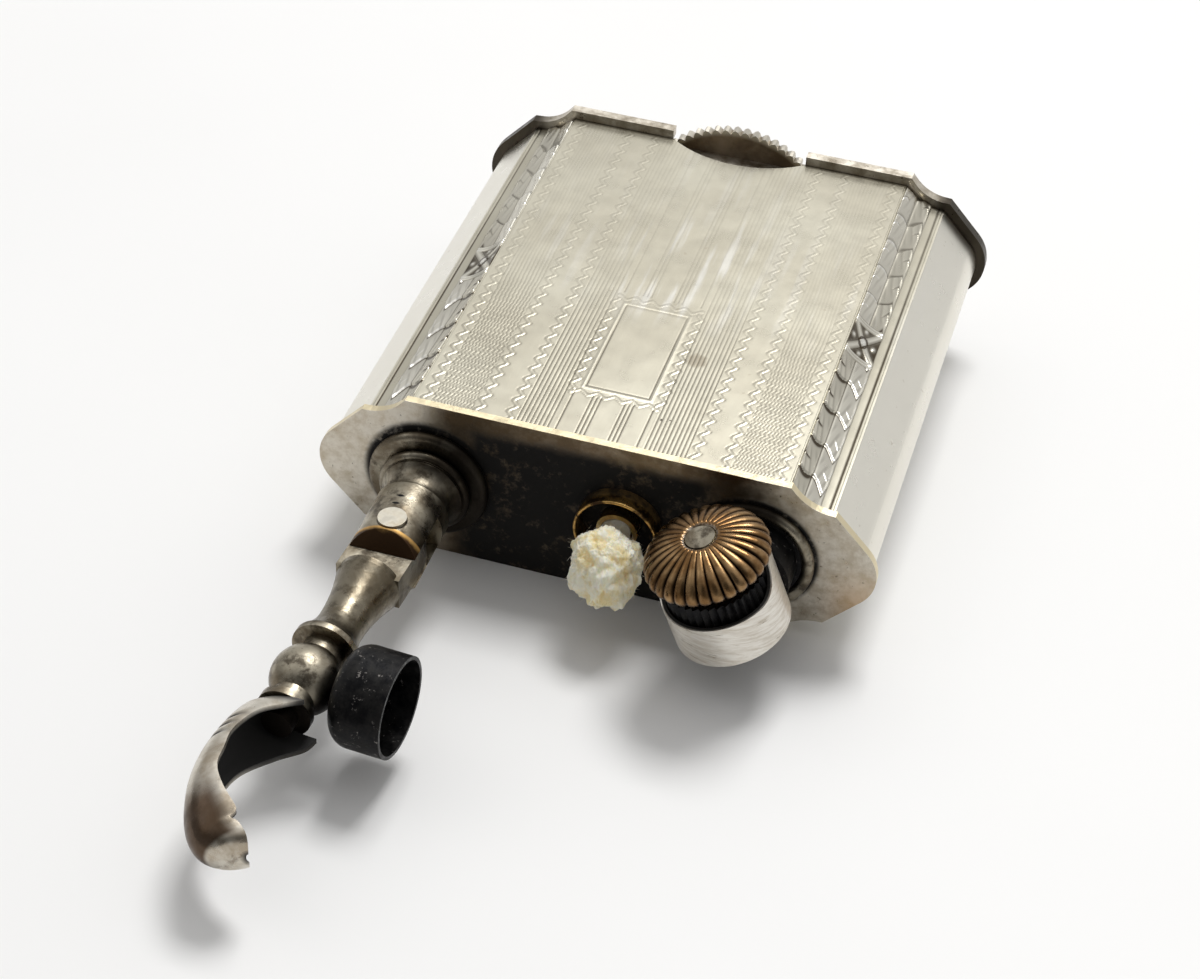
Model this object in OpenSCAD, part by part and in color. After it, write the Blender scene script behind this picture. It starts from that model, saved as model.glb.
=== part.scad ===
// Pocket petrol lighter with a lifting snuffer arm, lying on its back with the arm open.
// Origin: centre of the case's back face. +Z: out of the engraved front face.
// +X: from the arm's hinge to the striker. -Y: out of the top end. +Y: out of the base end.

/* [Case] */
// Width of the case, between its two side ridges
case_w = 38.9; // [38.5:0.1:44]
// Thickness of the case, front panel to back panel
case_t = 11.94; // [11.6:0.02:13]
// Length of the case tube between the two end plates
case_len = 37.3; // [34:0.1:48]
// Wall thickness of the case tube
case_wall = 0.6; // [0.4:0.05:0.8]
// Width of the flat front panel and of the flat back panel
panel_w = 26.56; // [25.6:0.02:28]
// Width over the outer edges of the two fluted strips
strip_w = 32.88; // [31:0.02:34]
// Depth of a fluted strip's outer edge below the panel
strip_drop = 1.61; // [1.2:0.01:2]
// How far the flute is hollowed below its own chord
flute_depth = 0.42; // [0.1:0.01:0.6]
// Radius of the rounded side ridge
ridge_r = 2.8; // [1:0.1:3]

/* [End plates] */
// Thickness of the top plate
top_t = 0.6; // [0.4:0.05:0.8]
// How far the top plate stands out past the case
top_lip = 0.45; // [0.3:0.05:0.6]
// Thickness of the base plate's flange
base_t = 0.8; // [0.6:0.05:1]
// How far the base plate stands out past the case
base_lip = 0.7; // [0.5:0.05:1]
// Width of the gap in the base plate's flange beside the filler disc
foot_gap_w = 10.6; // [10.4:0.1:11.4]
// Depth of the thumb notch under the filler disc
notch_depth = 1.9; // [0.8:0.1:2]
// Thickness of the plug that closes the case
plug_t = 2.9; // [2.4:0.1:4]

/* [Filler] */
// Radius of the knurled filler disc
filler_r = 7.75; // [7.4:0.05:7.9]
// Thickness of the filler disc
filler_t = 0.75; // [0.5:0.05:0.75]
// Number of beads round the filler disc
filler_beads = 60; // [40:2:72]
// Radius of the filler screw's shank
filler_shank_r = 2.5; // [2:0.05:3]
// Length of the filler screw's shank, past the washer
filler_shank_len = 4.2; // [3.5:0.1:6]
// Wall of the threaded filler bush
filler_bush_wall = 0.8; // [0.5:0.05:0.9]
// Thickness of the sealing washer under the disc
washer_t = 0.5; // [0.3:0.05:0.8]
// Width of the sealing washer's rim round the bush
washer_rim = 1.2; // [0.8:0.05:1.3]

/* [Hinge post] */
// Distance of the hinge post from the case's side ridge
post_inset = 7.8; // [7.5:0.05:8]
// Radius of the hinge post
post_r = 2.62; // [2.5:0.02:2.7]
// Height of the rivet's axis above the top plate
pivot_out = 7.5; // [7.5:0.05:8]
// Distance from the rivet's axis to the ends of the two ears
ear_len = 2; // [1.8:0.05:2.2]
// Slope of the flat at each ear's end
ear_slope = 31; // [10:1:35]
// Radius of the rivet's shank
rivet_r = 0.72; // [0.5:0.02:0.85]
// Radius of the rivet's head
rivet_head_r = 0.98; // [0.92:0.02:1.1]
// Radius of the ringed collar at the foot of the post
collar_r = 4.35; // [4.1:0.05:4.6]
// Height of the ringed collar
collar_h = 1.75; // [1.6:0.05:1.9]
// Distance from the top plate to the foot of the post's plain part
post_foot = 3.7; // [3.6:0.05:3.8]
// Radius of the post's flared foot
foot_r = 2.9; // [2.8:0.05:3]
// Radius of the hollow between the post's foot and its plain part
cove_r = 1.6; // [1.5:0.05:1.8]
// Radius of the neck in the middle of that hollow
cove_neck_r = 2.25; // [2.1:0.05:2.4]
// Radius of the post's tenon in the top plate
tenon_r = 1.9; // [1.7:0.05:2]
// Radius of the plunger that steadies the arm
plunger_r = 1; // [0.7:0.05:1.1]
// Length of the plunger that steadies the arm
plunger_len = 2.3; // [1.8:0.1:2.5]

/* [Arm] */
// Angle of the open arm past straight up, away from the striker
arm_open = 3.5; // [0:0.5:6]
// Angle that stays between the closed arm and the top plate
arm_closed = 2; // [0:0.1:2]
// Thickness of the arm's tongue, between the ears
tongue_t = 2.4; // [2.2:0.05:2.6]
// Width of the arm's tongue
tongue_w = 4.5; // [4.2:0.05:4.6]
// Distance from the rivet to the foot of the turned stem
stem_start = 3.65; // [3.4:0.05:4]
// Radius of the rings at both ends of the turned stem
stem_ring_r = 2.27; // [2:0.01:2.4]
// Radius of the turned stem at its waist
stem_waist_r = 1.6; // [1.3:0.05:1.8]
// Length of the neck between the turned stem and the middle of the ball
ball_neck = 2.7; // [2.5:0.05:3]
// Radius of the ball
ball_r = 2.35; // [2.2:0.05:2.4]
// Radius of the peg that enters the finger lift
lift_peg_r = 1.05; // [0.9:0.05:1.1]
// Radius of the necks on both sides of the ball
neck_r = 1.45; // [1.2:0.05:1.6]
// Distance from the middle of the ball to the finger lift's collar
lift_collar_at = 2.65; // [2.5:0.05:2.8]
// Thickness of the finger lift's collar
lift_collar_t = 0.55; // [0.4:0.05:0.7]
// Radius of the finger lift's collar
lift_collar_r = 1.85; // [1.7:0.05:2]
// Radius of the stud that carries the snuffer cap
stud_r = 0.9; // [0.6:0.05:1.1]
// Outer radius of the snuffer cap
cap_r = 3.4; // [3.35:0.05:3.5]
// Wall of the snuffer cap
cap_wall = 0.25; // [0.2:0.05:0.3]
// Depth of the snuffer cap, outside
cap_depth = 3.95; // [3.6:0.05:4.2]
// Radius of the round between the snuffer cap's back and its side
cap_edge_r = 1.4; // [0.8:0.1:1.6]
// Sheet thickness of the finger lift
lift_wall = 0.4; // [0.3:0.05:0.5]

/* [Wick] */
// Distance between the wick's middle and the striker's
wick_beside = 9.13; // [9.1:0.01:9.3]
// Outer radius of the wind guard round the wick
guard_r = 3; // [2.8:0.05:3.05]
// Height of the wind guard above the top plate
guard_h = 1.5; // [0.8:0.05:1.6]
// Wall of the wind guard
guard_wall = 0.25; // [0.15:0.05:0.35]
// How far the snuffer cap drops over the wind guard
cap_over = 0.05; // [0:0.05:0.1]
// Outer radius of the wick tube
wick_tube_r = 1.45; // [1.3:0.05:1.6]
// Height of the wick tube above the top plate
wick_tube_h = 1; // [0.6:0.05:1.1]
// Length of the wick tube inside the case
wick_tube_in = 2.5; // [2:0.1:4]
// Radius of the wick cord
wick_r = 1.1; // [0.9:0.05:1.2]
// Radius of the frayed tuft at the wick's end
tuft_r = 2.2; // [1.8:0.05:2.3]

/* [Striker] */
// Distance of the striker's seat from the case's side ridge
striker_inset = 8.25; // [8.1:0.05:8.4]
// Outer radius of the striker's beaded collar
seat_r = 4.5; // [4.4:0.05:4.6]
// Radius of the boss that carries the wheel housing
boss_r = 3.3; // [3.1:0.05:3.4]
// Height of the boss above the top plate
boss_h = 2.6; // [2.2:0.1:3]
// How far the flint wheel's centre stands towards the wick from the middle of its seat
wheel_shift = 0.6; // [0.5:0.05:0.7]
// Height of the flint wheel's centre above the top plate
wheel_out = 5.45; // [5.4:0.05:5.6]
// Distance of the flint wheel's centre in front of the case's middle plane
wheel_up = 0.95; // [0.8:0.05:1.1]
// Tilt of the wheel's axle towards the wick
wheel_tilt = 18.2; // [16:0.1:19]
// Lean of the wheel's axle away from the top plate
wheel_lean = 6.9; // [5:0.1:8]
// Radius of the flint wheel over its teeth
wheel_r = 3.6; // [3.4:0.05:3.65]
// Thickness of the flint wheel
wheel_t = 4.2; // [3.6:0.1:4.4]
// Number of teeth on the flint wheel
wheel_teeth = 40; // [30:2:48]
// Outer radius of the wheel housing
housing_r = 4; // [3.95:0.05:4.1]
// Wall of the wheel housing
housing_wall = 0.32; // [0.25:0.01:0.34]
// Distance from the flint wheel's centre back to the housing's floor
housing_back = 2.8; // [2.7:0.05:3]
// Height of the wheel housing's front wall
housing_front_h = 3.45; // [3:0.05:3.8]
// Radius of the fluted thumb dome at its rim
dome_r = 4.32; // [4.2:0.02:4.4]
// Height of the thumb dome above its rim
dome_h = 2; // [1.6:0.1:2.2]
// Gap between the thumb dome's rim and the housing's front wall
dome_gap = 2.85; // [2.6:0.05:3]
// Number of flutes on the thumb dome
dome_flutes = 30; // [24:1:36]
// Depth of the flutes on the thumb dome
dome_flute = 0.2; // [0.1:0.02:0.24]
// Thickness of the thumb dome's plain rim
rim_t = 0.35; // [0.25:0.05:0.45]
// Radius of the thumb dome's hub
hub_r = 2.4; // [2:0.1:2.8]
// Radius of the recess in the middle of the thumb dome
recess_r = 1.3; // [1.2:0.05:1.5]
// Depth of the recess in the middle of the thumb dome
recess_depth = 0.35; // [0.3:0.05:0.4]
// Radius of the wheel's axle
axle_r = 0.7; // [0.5:0.05:0.75]
// Radius of the axle's shoulder behind the flint wheel
shoulder_r = 1.5; // [1.2:0.1:2]

/* [Flint feed] */
// Outer radius of the flint tube
flint_tube_r = 1.75; // [1.6:0.05:1.9]
// Radius of the flint
flint_r = 1.2; // [1.1:0.05:1.25]
// Length of the flint
flint_len = 6; // [4:0.1:8]
// Length of the follower behind the flint
follower_len = 1.2; // [0.8:0.1:2]
// Length of the flint screw's shank
flint_shank_len = 11; // [9:0.1:13]
// Radius of the flint screw's head
flint_head_r = 1.85; // [1.8:0.05:1.9]
// Wire diameter of the springs
spring_wire = 0.3; // [0.2:0.05:0.35]

/* [Hidden] */
$fn = 64;

// Clearance of a part that turns or slides in its seat
run_gap = 0.04;
// Clearance of a fixed part in its seat
fit_gap = 0.02;
// Overshoot of a cut past the faces that it crosses
past = 1;

post_x = case_w / 2 - post_inset;
striker_x = case_w / 2 - striker_inset;
wheel_x = striker_x - wheel_shift;
wick_x = striker_x - wick_beside;
// The closed arm holds the snuffer over the wick: the ball's place along the arm, the mouth's beside it
cap_rise = pivot_out - guard_h + cap_over;
ball_at = (wick_x + post_x) * cos(arm_closed) - cap_rise * sin(arm_closed);
cap_mouth = (cap_rise + ball_at * sin(arm_closed)) / cos(arm_closed);
stem_end = ball_at - ball_neck;
total_len = top_t + case_len + base_t;
y_top = -total_len / 2;
y_base = total_len / 2;
z_mid = case_t / 2;

// A quarter of the case's outline as [x, z] from its middle: panel corner, flute, side, ridge
flute_steps = 8;
ridge_steps = 8;
panel_corner = [panel_w / 2, case_t / 2];
strip_corner = [strip_w / 2, case_t / 2 - strip_drop];
ridge_middle = [case_w / 2 - ridge_r, 0];

function unit(v) = v / norm(v);
function left_of(v) = [-v[1], v[0]];
function flipped(points) = [for (i = [len(points) - 1 : -1 : 0]) points[i]];

// Points of a shallow hollow arc from a to b, sunk by depth at its middle
function hollow_arc(a, b, depth, steps) =
  let (chord = norm(b - a), r = (chord * chord / 4 + depth * depth) / (2 * depth))
  let (along = unit(b - a), side = left_of(along), down = side * a < 0 ? side : -side)
  let (middle = (a + b) / 2 + down * (depth - r), half = asin(chord / 2 / r))
  [for (i = [0 : steps])
    let (t = half * (2 * i / steps - 1))
    middle + r * (sin(t) * along + cos(t) * down)];

// Points of the round of the side ridge, from the slanted side to the middle plane
ridge_reach = strip_corner - ridge_middle;
ridge_turn = atan2(ridge_reach[1], ridge_reach[0]) - acos(ridge_r / norm(ridge_reach));
ridge_round = [for (i = [0 : ridge_steps])
  let (t = ridge_turn * (1 - i / ridge_steps))
  ridge_middle + ridge_r * [cos(t), sin(t)]];

quarter = concat(hollow_arc(panel_corner, strip_corner, flute_depth, flute_steps), ridge_round);
right_half = concat(quarter, [for (i = [len(quarter) - 2 : -1 : 0]) [quarter[i][0], -quarter[i][1]]]);
outline = concat(right_half, flipped([for (p = right_half) [-p[0], p[1]]]));

// The outline moved outward by g, or inward where g is negative
function grown(points, g) =
  let (n = len(points))
  [for (i = [0 : n - 1])
    let (p = points[i], n1 = left_of(unit(p - points[(i + n - 1) % n])))
    let (n2 = left_of(unit(points[(i + 1) % n] - p)))
    p + g * (n1 + n2) / (1 + n1 * n2)];

// A slab of the case's outline, grown by g, from y0 to y1
module slab(g, y0, y1) {
  translate([0, y1, z_mid])
    rotate([90, 0, 0])
      linear_extrude(y1 - y0) polygon(grown(outline, g));
}

// Places its children on the top plate: their +Z points out of the lighter's top
module from_top(x = 0, out = 0, up = 0) {
  translate([x, y_top - out, z_mid + up])
    rotate([90, 0, 0])
      children();
}

// Places its children on the base plate: their +Z points out of the lighter's base
module from_base(x = 0, out = 0, up = 0) {
  translate([x, y_base + out, z_mid + up])
    rotate([-90, 0, 0])
      children();
}

// Places its children on the arm: +Z runs along the arm, +X to the snuffer's side
module along_arm(s = 0) {
  translate([-post_x, y_top - pivot_out, z_mid])
    rotate([0, 0, -arm_open])
      rotate([90, 0, 0])
        translate([0, 0, s])
          children();
}

// Places its children at the flint wheel: +Z runs along the axle towards the dome
module at_wheel(h = 0) {
  translate([wheel_x, y_top - wheel_out, z_mid + wheel_up])
    rotate([0, -wheel_tilt, 0])
      rotate([wheel_lean, 0, 0])
        translate([0, 0, h])
          children();
}

module ring(r_out, r_in, h) {
  difference() {
    cylinder(r = r_out, h = h);
    translate([0, 0, -past]) cylinder(r = r_in, h = h + 2 * past);
  }
}

// A body through a row of closed loops of points. A closed row joins its last loop to its first.
// Otherwise each end is closed by strips between the loop's two halves.
module skin(loops, closed = false) {
  n = len(loops);
  m = len(loops[0]);
  points = [for (loop = loops) each loop];
  rows = closed ? n : n - 1;
  sides = [for (i = [0 : rows - 1], j = [0 : m - 1])
    let (a = i * m + j, b = i * m + (j + 1) % m)
    let (c = ((i + 1) % n) * m + j, d = ((i + 1) % n) * m + (j + 1) % m)
    each [[a, d, c], [a, b, d]]];
  ends = closed ? [] : [for (j = [0 : m / 2 - 2])
    let (a = j, b = j + 1, c = m - 2 - j, d = m - 1 - j, e = (n - 1) * m)
    each [[a, c, b], [a, d, c], [e + a, e + b, e + c], [e + a, e + c, e + d]]];
  polyhedron(points, concat(sides, ends));
}

// Case

end_y = y_base - base_t;
floor_y = end_y - washer_t;
plug_y = end_y - plug_t;
disc_gap = 0.2;
filler_bush_r = filler_shank_r + filler_bush_wall;
washer_r = filler_bush_r + washer_rim;

// The flint's line: where the flint wheel's rim comes nearest to the top plate
crown_sin = sin(wheel_lean);
crown_cos = cos(wheel_lean);
flint_x = wheel_x - wheel_r * sin(wheel_tilt) * crown_sin;
flint_up = wheel_up + wheel_r * cos(wheel_tilt) * crown_sin;
crown_out = wheel_out - wheel_r * crown_cos;

module case_shell() {
  half = foot_gap_w / 2;
  notch_r = (half * half + notch_depth * notch_depth) / (2 * notch_depth);
  color([0.74, 0.71, 0.64])
    difference() {
      slab(0, y_top + top_t, end_y);
      slab(-case_wall, y_top + top_t - past, end_y + past);
      for (side = [-1, 1])
        translate([0, end_y - notch_depth + notch_r, z_mid + side * case_t / 2])
          cylinder(r = notch_r, h = 3 * case_wall, center = true);
    }
}

module top_plate() {
  color([0.66, 0.62, 0.55])
    difference() {
      slab(top_lip, y_top, y_top + top_t);
      from_top(-post_x, -top_t - past) cylinder(r = tenon_r + fit_gap, h = top_t + 2 * past);
      from_top(wick_x, -top_t - past) cylinder(r = wick_tube_r + fit_gap, h = top_t + 2 * past);
      from_top(flint_x, -top_t - past, flint_up)
        cylinder(r = flint_tube_r + fit_gap, h = top_t + 2 * past);
    }
}

module base_plate() {
  color([0.72, 0.68, 0.6])
    difference() {
      union() {
        difference() {
          slab(base_lip, end_y, y_base);
          from_base(0, -base_t - past) cylinder(r = filler_r + disc_gap, h = base_t + 2 * past);
          translate([0, y_base, z_mid])
            cube([foot_gap_w, 2 * base_t, case_t + 4 * base_lip], center = true);
          from_base(flint_x, -base_t - past, flint_up)
            cylinder(r = flint_head_r + run_gap, h = base_t + 2 * past);
        }
        slab(-case_wall - fit_gap, plug_y, end_y);
      }
      from_base(0, -base_t - washer_t) cylinder(r = washer_r + disc_gap, h = base_t + washer_t + past);
      from_base(0, -base_t - plug_t - past) cylinder(r = filler_bush_r + fit_gap, h = plug_t + past);
      from_base(flint_x, -base_t - plug_t - past, flint_up)
        cylinder(r = flint_tube_r + fit_gap, h = plug_t + 2 * past);
    }
}

// Filler

bush_past = 0.6;
filler_bush_len = washer_t + filler_shank_len + bush_past;

module filler_bush() {
  color([0.72, 0.55, 0.25])
    from_base(0, floor_y - y_base - filler_bush_len)
      ring(filler_bush_r, filler_shank_r + run_gap, filler_bush_len);
}

module filler_washer() {
  color([0.45, 0.3, 0.18])
    from_base(0, floor_y - y_base) ring(washer_r, filler_shank_r + fit_gap, washer_t);
}

// A disc's outline with beads round it: each bead is four points
function beaded(r, beads) =
  let (bead = PI * r / (beads + PI), steps = 4)
  [for (i = [0 : beads * steps - 1])
    let (a = 360 * i / (beads * steps), swell = sin(180 * (i % steps) / steps))
    (r - bead + bead * swell) * [cos(a), sin(a)]];

module filler_screw() {
  color([0.5, 0.45, 0.36])
    from_base(0, -base_t) {
      linear_extrude(filler_t) polygon(beaded(filler_r, filler_beads));
      translate([0, 0, -washer_t - filler_shank_len])
        cylinder(r = filler_shank_r, h = washer_t + filler_shank_len);
    }
}

// Fuel

wadding_gap = 0.2;
wick_in = 13;
wadding_y0 = y_top + top_t + wick_tube_in + wadding_gap;
wadding_y1 = floor_y - filler_bush_len - wadding_gap;

// The wadding's outline follows the inside of the case, with the flutes passed by a flat corner
module wadding_outline() {
  inset = case_wall + wadding_gap;
  corner = 1.4;
  half = [
    [panel_w / 2 - corner, case_t / 2 - inset],
    [strip_w / 2 - corner, case_t / 2 - strip_drop - inset],
    [case_w / 2 - 2 * inset, 0],
    [strip_w / 2 - corner, strip_drop + inset - case_t / 2],
    [panel_w / 2 - corner, inset - case_t / 2]
  ];
  polygon(concat(half, flipped([for (p = half) [-p[0], p[1]]])));
}

module cotton_wadding() {
  wadding_len = wadding_y1 - wadding_y0;
  color([0.93, 0.91, 0.85])
    difference() {
      translate([0, wadding_y1, z_mid])
        rotate([90, 0, 0])
          linear_extrude(wadding_len) wadding_outline();
      from_top(flint_x, y_top - wadding_y1 - past, flint_up)
        cylinder(r = flint_tube_r + wadding_gap, h = wadding_len + 2 * past);
      from_top(wick_x, -top_t - wick_in - wadding_gap)
        cylinder(r = wick_r + wadding_gap, h = wick_in + past);
    }
}

module wick() {
  color([0.9, 0.87, 0.78])
    from_top(wick_x, -top_t - wick_in) cylinder(r = wick_r, h = wick_in + top_t + wick_tube_h);
}

module wick_tube() {
  color([0.76, 0.58, 0.28])
    from_top(wick_x, -top_t - wick_tube_in)
      ring(wick_tube_r, wick_r + fit_gap, wick_tube_in + top_t + wick_tube_h);
}

module wick_guard() {
  bead_r = guard_wall / 2;
  color([0.7, 0.52, 0.24])
    from_top(wick_x)
      rotate_extrude() {
        translate([guard_r - guard_wall, 0]) square([guard_wall, guard_h - bead_r]);
        translate([guard_r - bead_r, guard_h - bead_r]) circle(r = bead_r, $fn = 24);
      }
}

module wick_tuft() {
  color([0.96, 0.93, 0.84])
    from_top(wick_x, wick_tube_h)
      intersection() {
        translate([0, 0, 0.6 * tuft_r]) sphere(r = tuft_r, $fn = 40);
        cylinder(r = tuft_r, h = 1.5 * tuft_r);
      }
}

// Hinge

foot_edge_h = 0.55;
ear_rim = 0.5;
heel_r = tongue_w / 2;
slot_gap = run_gap;
heel_gap = 0.2;
slot_floor = pivot_out - heel_r - heel_gap;
plunger_tip = pivot_out - heel_r - run_gap;
plunger_bore = 3.9;
rivet_sink = 0.3;
rivet_seat = post_r - rivet_sink;
rivet_proud = 0.12;

module hinge_collar() {
  low_r = 0.45;
  high_r = 0.35;
  high_rim = 0.1;
  step_r = collar_r - low_r - 1.7 * high_r;
  color([0.6, 0.57, 0.5])
    from_top(-post_x)
      rotate_extrude()
        difference() {
          union() {
            square([collar_r - low_r, 2 * low_r]);
            translate([collar_r - low_r, low_r]) circle(r = low_r, $fn = 32);
            square([step_r - high_r, collar_h]);
            translate([step_r - high_r, collar_h - high_r - high_rim]) circle(r = high_r, $fn = 32);
          }
          translate([-past, -past]) square([tenon_r + fit_gap + past, collar_h + 2 * past]);
        }
}

module hinge_post() {
  ear_y = tongue_t / 2 + slot_gap;
  ear_out = pivot_out + ear_len;
  color([0.68, 0.65, 0.58])
    from_top(-post_x)
      difference() {
        union() {
          translate([0, 0, -top_t]) cylinder(r = tenon_r, h = top_t + collar_h);
          translate([0, 0, collar_h])
            rotate_extrude()
              difference() {
                square([foot_r, post_foot - collar_h]);
                translate([cove_neck_r + cove_r, post_foot - collar_h - foot_edge_h])
                  circle(r = cove_r, $fn = 48);
              }
          translate([0, 0, post_foot]) cylinder(r = post_r, h = ear_out - post_foot);
        }
        translate([-post_r - past, -ear_y, slot_floor])
          cube([2 * (post_r + past), 2 * ear_y, ear_out]);
        for (side = [0, 180])
          rotate(side)
            translate([-post_r - past, ear_y, ear_out])
              rotate([-ear_slope, 0, 0])
                translate([0, -ear_rim, 0])
                  cube([2 * (post_r + past), 2 * post_r, post_r]);
        translate([0, 0, pivot_out])
          rotate([90, 0, 0]) {
            cylinder(r = rivet_r + run_gap, h = 4 * post_r, center = true);
            for (side = [-1, 1])
              translate([0, 0, side * (rivet_seat + post_r)])
                cylinder(r = rivet_head_r + fit_gap, h = 2 * post_r, center = true);
          }
        translate([0, 0, slot_floor - plunger_bore])
          cylinder(r = plunger_r + run_gap, h = plunger_bore + past);
      }
}

module hinge_rivet() {
  head_t = post_r + rivet_proud - rivet_seat;
  color([0.82, 0.8, 0.75])
    from_top(-post_x, pivot_out)
      rotate([90, 0, 0]) {
        cylinder(r = rivet_r, h = 2 * rivet_seat, center = true);
        translate([0, 0, rivet_seat]) cylinder(r = rivet_head_r, h = head_t);
        translate([0, 0, -rivet_seat - head_t]) cylinder(r = rivet_head_r, h = head_t);
      }
}

module arm_plunger() {
  color([0.6, 0.6, 0.62])
    from_top(-post_x, plunger_tip - plunger_len) cylinder(r = plunger_r, h = plunger_len);
}

// A coil spring of round wire, from 0 to h along +Z
module coil(r, turns, h) {
  wire = spring_wire / 2;
  wire_sides = 6;
  turn_steps = 10;
  steps = turns * turn_steps;
  loops = [for (i = [0 : steps])
    let (a = 360 * i / turn_steps, z = wire + (h - 2 * wire) * i / steps)
    [for (j = [0 : wire_sides - 1])
      let (b = 360 * j / wire_sides, q = r + wire * cos(b))
      [q * cos(a), q * sin(a), z + wire * sin(b)]]];
  skin(loops);
}

module plunger_spring() {
  foot = slot_floor - plunger_bore;
  side_gap = 0.08;
  color([0.45, 0.45, 0.47])
    from_top(-post_x, foot)
      coil(plunger_r - spring_wire / 2 - side_gap, 3, plunger_tip - plunger_len - foot);
}

// Arm

// Radius of the arc that rises by rise over the length run
function flare(run, rise) = (run * run + rise * rise) / (2 * rise);

module arm_stem() {
  waist_at = stem_start + 0.66 * (stem_end - stem_start);
  ring_t = 0.45;
  rise = stem_ring_r - stem_waist_r;
  near_r = flare(waist_at - stem_start - ring_t, rise);
  far_r = flare(stem_end - ring_t - waist_at, rise);
  color([0.6, 0.57, 0.5])
    along_arm() {
      difference() {
        union() {
          rotate([90, 0, 0]) cylinder(r = heel_r, h = tongue_t, center = true);
          translate([-heel_r, -tongue_t / 2, 0]) cube([tongue_w, tongue_t, stem_start + ring_t]);
        }
        rotate([90, 0, 0]) cylinder(r = rivet_r + run_gap, h = 2 * tongue_t, center = true);
      }
      translate([0, 0, stem_start])
        rotate_extrude()
          difference() {
            square([stem_ring_r, stem_end - stem_start]);
            intersection() {
              translate([stem_waist_r + near_r, waist_at - stem_start]) circle(r = near_r, $fn = 180);
              square([2 * stem_ring_r, waist_at - stem_start]);
            }
            intersection() {
              translate([stem_waist_r + far_r, waist_at - stem_start]) circle(r = far_r, $fn = 120);
              translate([0, waist_at - stem_start]) square([2 * stem_ring_r, stem_end]);
            }
          }
    }
}

collar_at = ball_at + lift_collar_at;
lift_root = collar_at + lift_collar_t;
lift_peg_len = lift_peg_r;

module arm_knuckle() {
  color([0.66, 0.63, 0.55])
    along_arm(ball_at)
      difference() {
        union() {
          sphere(r = ball_r, $fn = 96);
          translate([0, 0, stem_end - ball_at]) cylinder(r = neck_r, h = collar_at - stem_end);
          translate([0, 0, collar_at - ball_at]) cylinder(r = lift_collar_r, h = lift_root - collar_at);
          translate([0, 0, lift_root - ball_at]) cylinder(r = lift_peg_r, h = lift_peg_len);
        }
        rotate([0, 90, 0]) cylinder(r = stud_r + fit_gap, h = ball_r + past);
      }
}

module snuffer_stud() {
  color([0.4, 0.39, 0.37])
    along_arm(ball_at)
      rotate([0, 90, 0])
        translate([0, 0, fit_gap]) cylinder(r = stud_r, h = cap_mouth - cap_depth + cap_wall - fit_gap);
}

module snuffer_cap() {
  edge_r = cap_edge_r;
  inner_r = edge_r - cap_wall;
  color([0.16, 0.16, 0.17])
    along_arm(ball_at)
      rotate([0, 90, 0])
        translate([0, 0, cap_mouth - cap_depth])
          rotate_extrude()
            difference() {
              union() {
                square([cap_r - edge_r, cap_depth]);
                translate([0, edge_r]) square([cap_r, cap_depth - edge_r]);
                translate([cap_r - edge_r, edge_r]) circle(r = edge_r, $fn = 48);
              }
              translate([-past, cap_wall]) square([cap_r - edge_r + past, cap_depth]);
              translate([-past, edge_r]) square([cap_r - cap_wall + past, cap_depth]);
              translate([cap_r - edge_r, edge_r]) circle(r = inner_r, $fn = 48);
              translate([-past, -past]) square([stud_r + fit_gap + past, 2 * past]);
            }
}

// The finger lift is a sheet hood. Each row is a section across it: the back's place along the arm
// and beside it, the same of its front edge and of its rear edge, and the half width.
// Places along the arm count from the lift's root.
lift_rows = [
  [0, -1.75, 0, 1.5, 0, 2.2, 1.8],
  [0.8, -2.5, 0.9, 0.5, 0.9, 1.8, 1.95],
  [2.5, -2.85, 2.1, -0.7, 2.2, 0.4, 2.05],
  [4.6, -2.95, 4.1, -1.3, 4.1, -1.1, 2.15],
  [6.5, -2.85, 5.7, -1.1, 6.1, -1.45, 2.2],
  [8.3, -2.45, 7.1, -0.85, 7.9, -1.1, 2.2],
  [10.1, -1.7, 8.4, 0.15, 9.4, 0, 2.15],
  [11.5, -0.8, 9.7, 1.7, 10.3, 1.1, 2.05],
  [12.3, 0.2, 10.4, 2.15, 10.6, 1.95, 1.9],
  [12.4, 1.2, 10.9, 2.85, 10.9, 2.7, 1.65],
  [12, 2.1, 11.2, 3.15, 11.1, 3.1, 1.25],
  [11.6, 2.75, 11.4, 3.25, 11.4, 3.2, 0.7]
];

// A smooth value between rows i and i + 1, at the share t of the way
function smooth(rows, i, t) =
  let (last = len(rows) - 1, b = rows[i], c = rows[i + 1])
  let (a = rows[max(i - 1, 0)], d = rows[min(i + 2, last)])
  b + t * (c - a) / 2 + t * t * (2 * a - 5 * b + 4 * c - d) / 2 + t * t * t * (3 * b - a - 3 * c + d) / 2;

// Points of one section of the hood: its outer side, then back along its inner side
lift_angles = [-90 : 15 : 90];
function lift_side(row, wall) =
  [for (a = lift_angles)
    let (back = [row[0], row[1]], share = (1 + sin(a)) / 2)
    let (edge = (1 - share) * [row[4], row[5]] + share * [row[2], row[3]])
    let (deep = norm(back - edge), reach = max(deep - wall, 0.02) / deep)
    let (p = edge + (back - edge) * cos(a) * reach)
    [p[1], (row[6] - wall) * sin(a), lift_root + p[0]]];

module finger_lift() {
  steps = 3;
  last = len(lift_rows) - 1;
  rows = [for (i = [0 : last - 1], k = [0 : steps - 1]) smooth(lift_rows, i, k / steps)];
  loops = [for (row = concat(rows, [lift_rows[last]]))
    concat(lift_side(row, 0), flipped(lift_side(row, lift_wall)))];
  color([0.7, 0.66, 0.58])
    along_arm() skin(loops);
}

// Striker

seat_bead_r = 0.42;
seat_inner_r = seat_r - 2 * seat_bead_r;
rear_gap = 0.25;
housing_floor_h = -housing_back;
front_h = housing_floor_h + housing_front_h;
rim_h = front_h + dome_gap;
rear_h = rim_h - rim_t - rear_gap;

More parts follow.
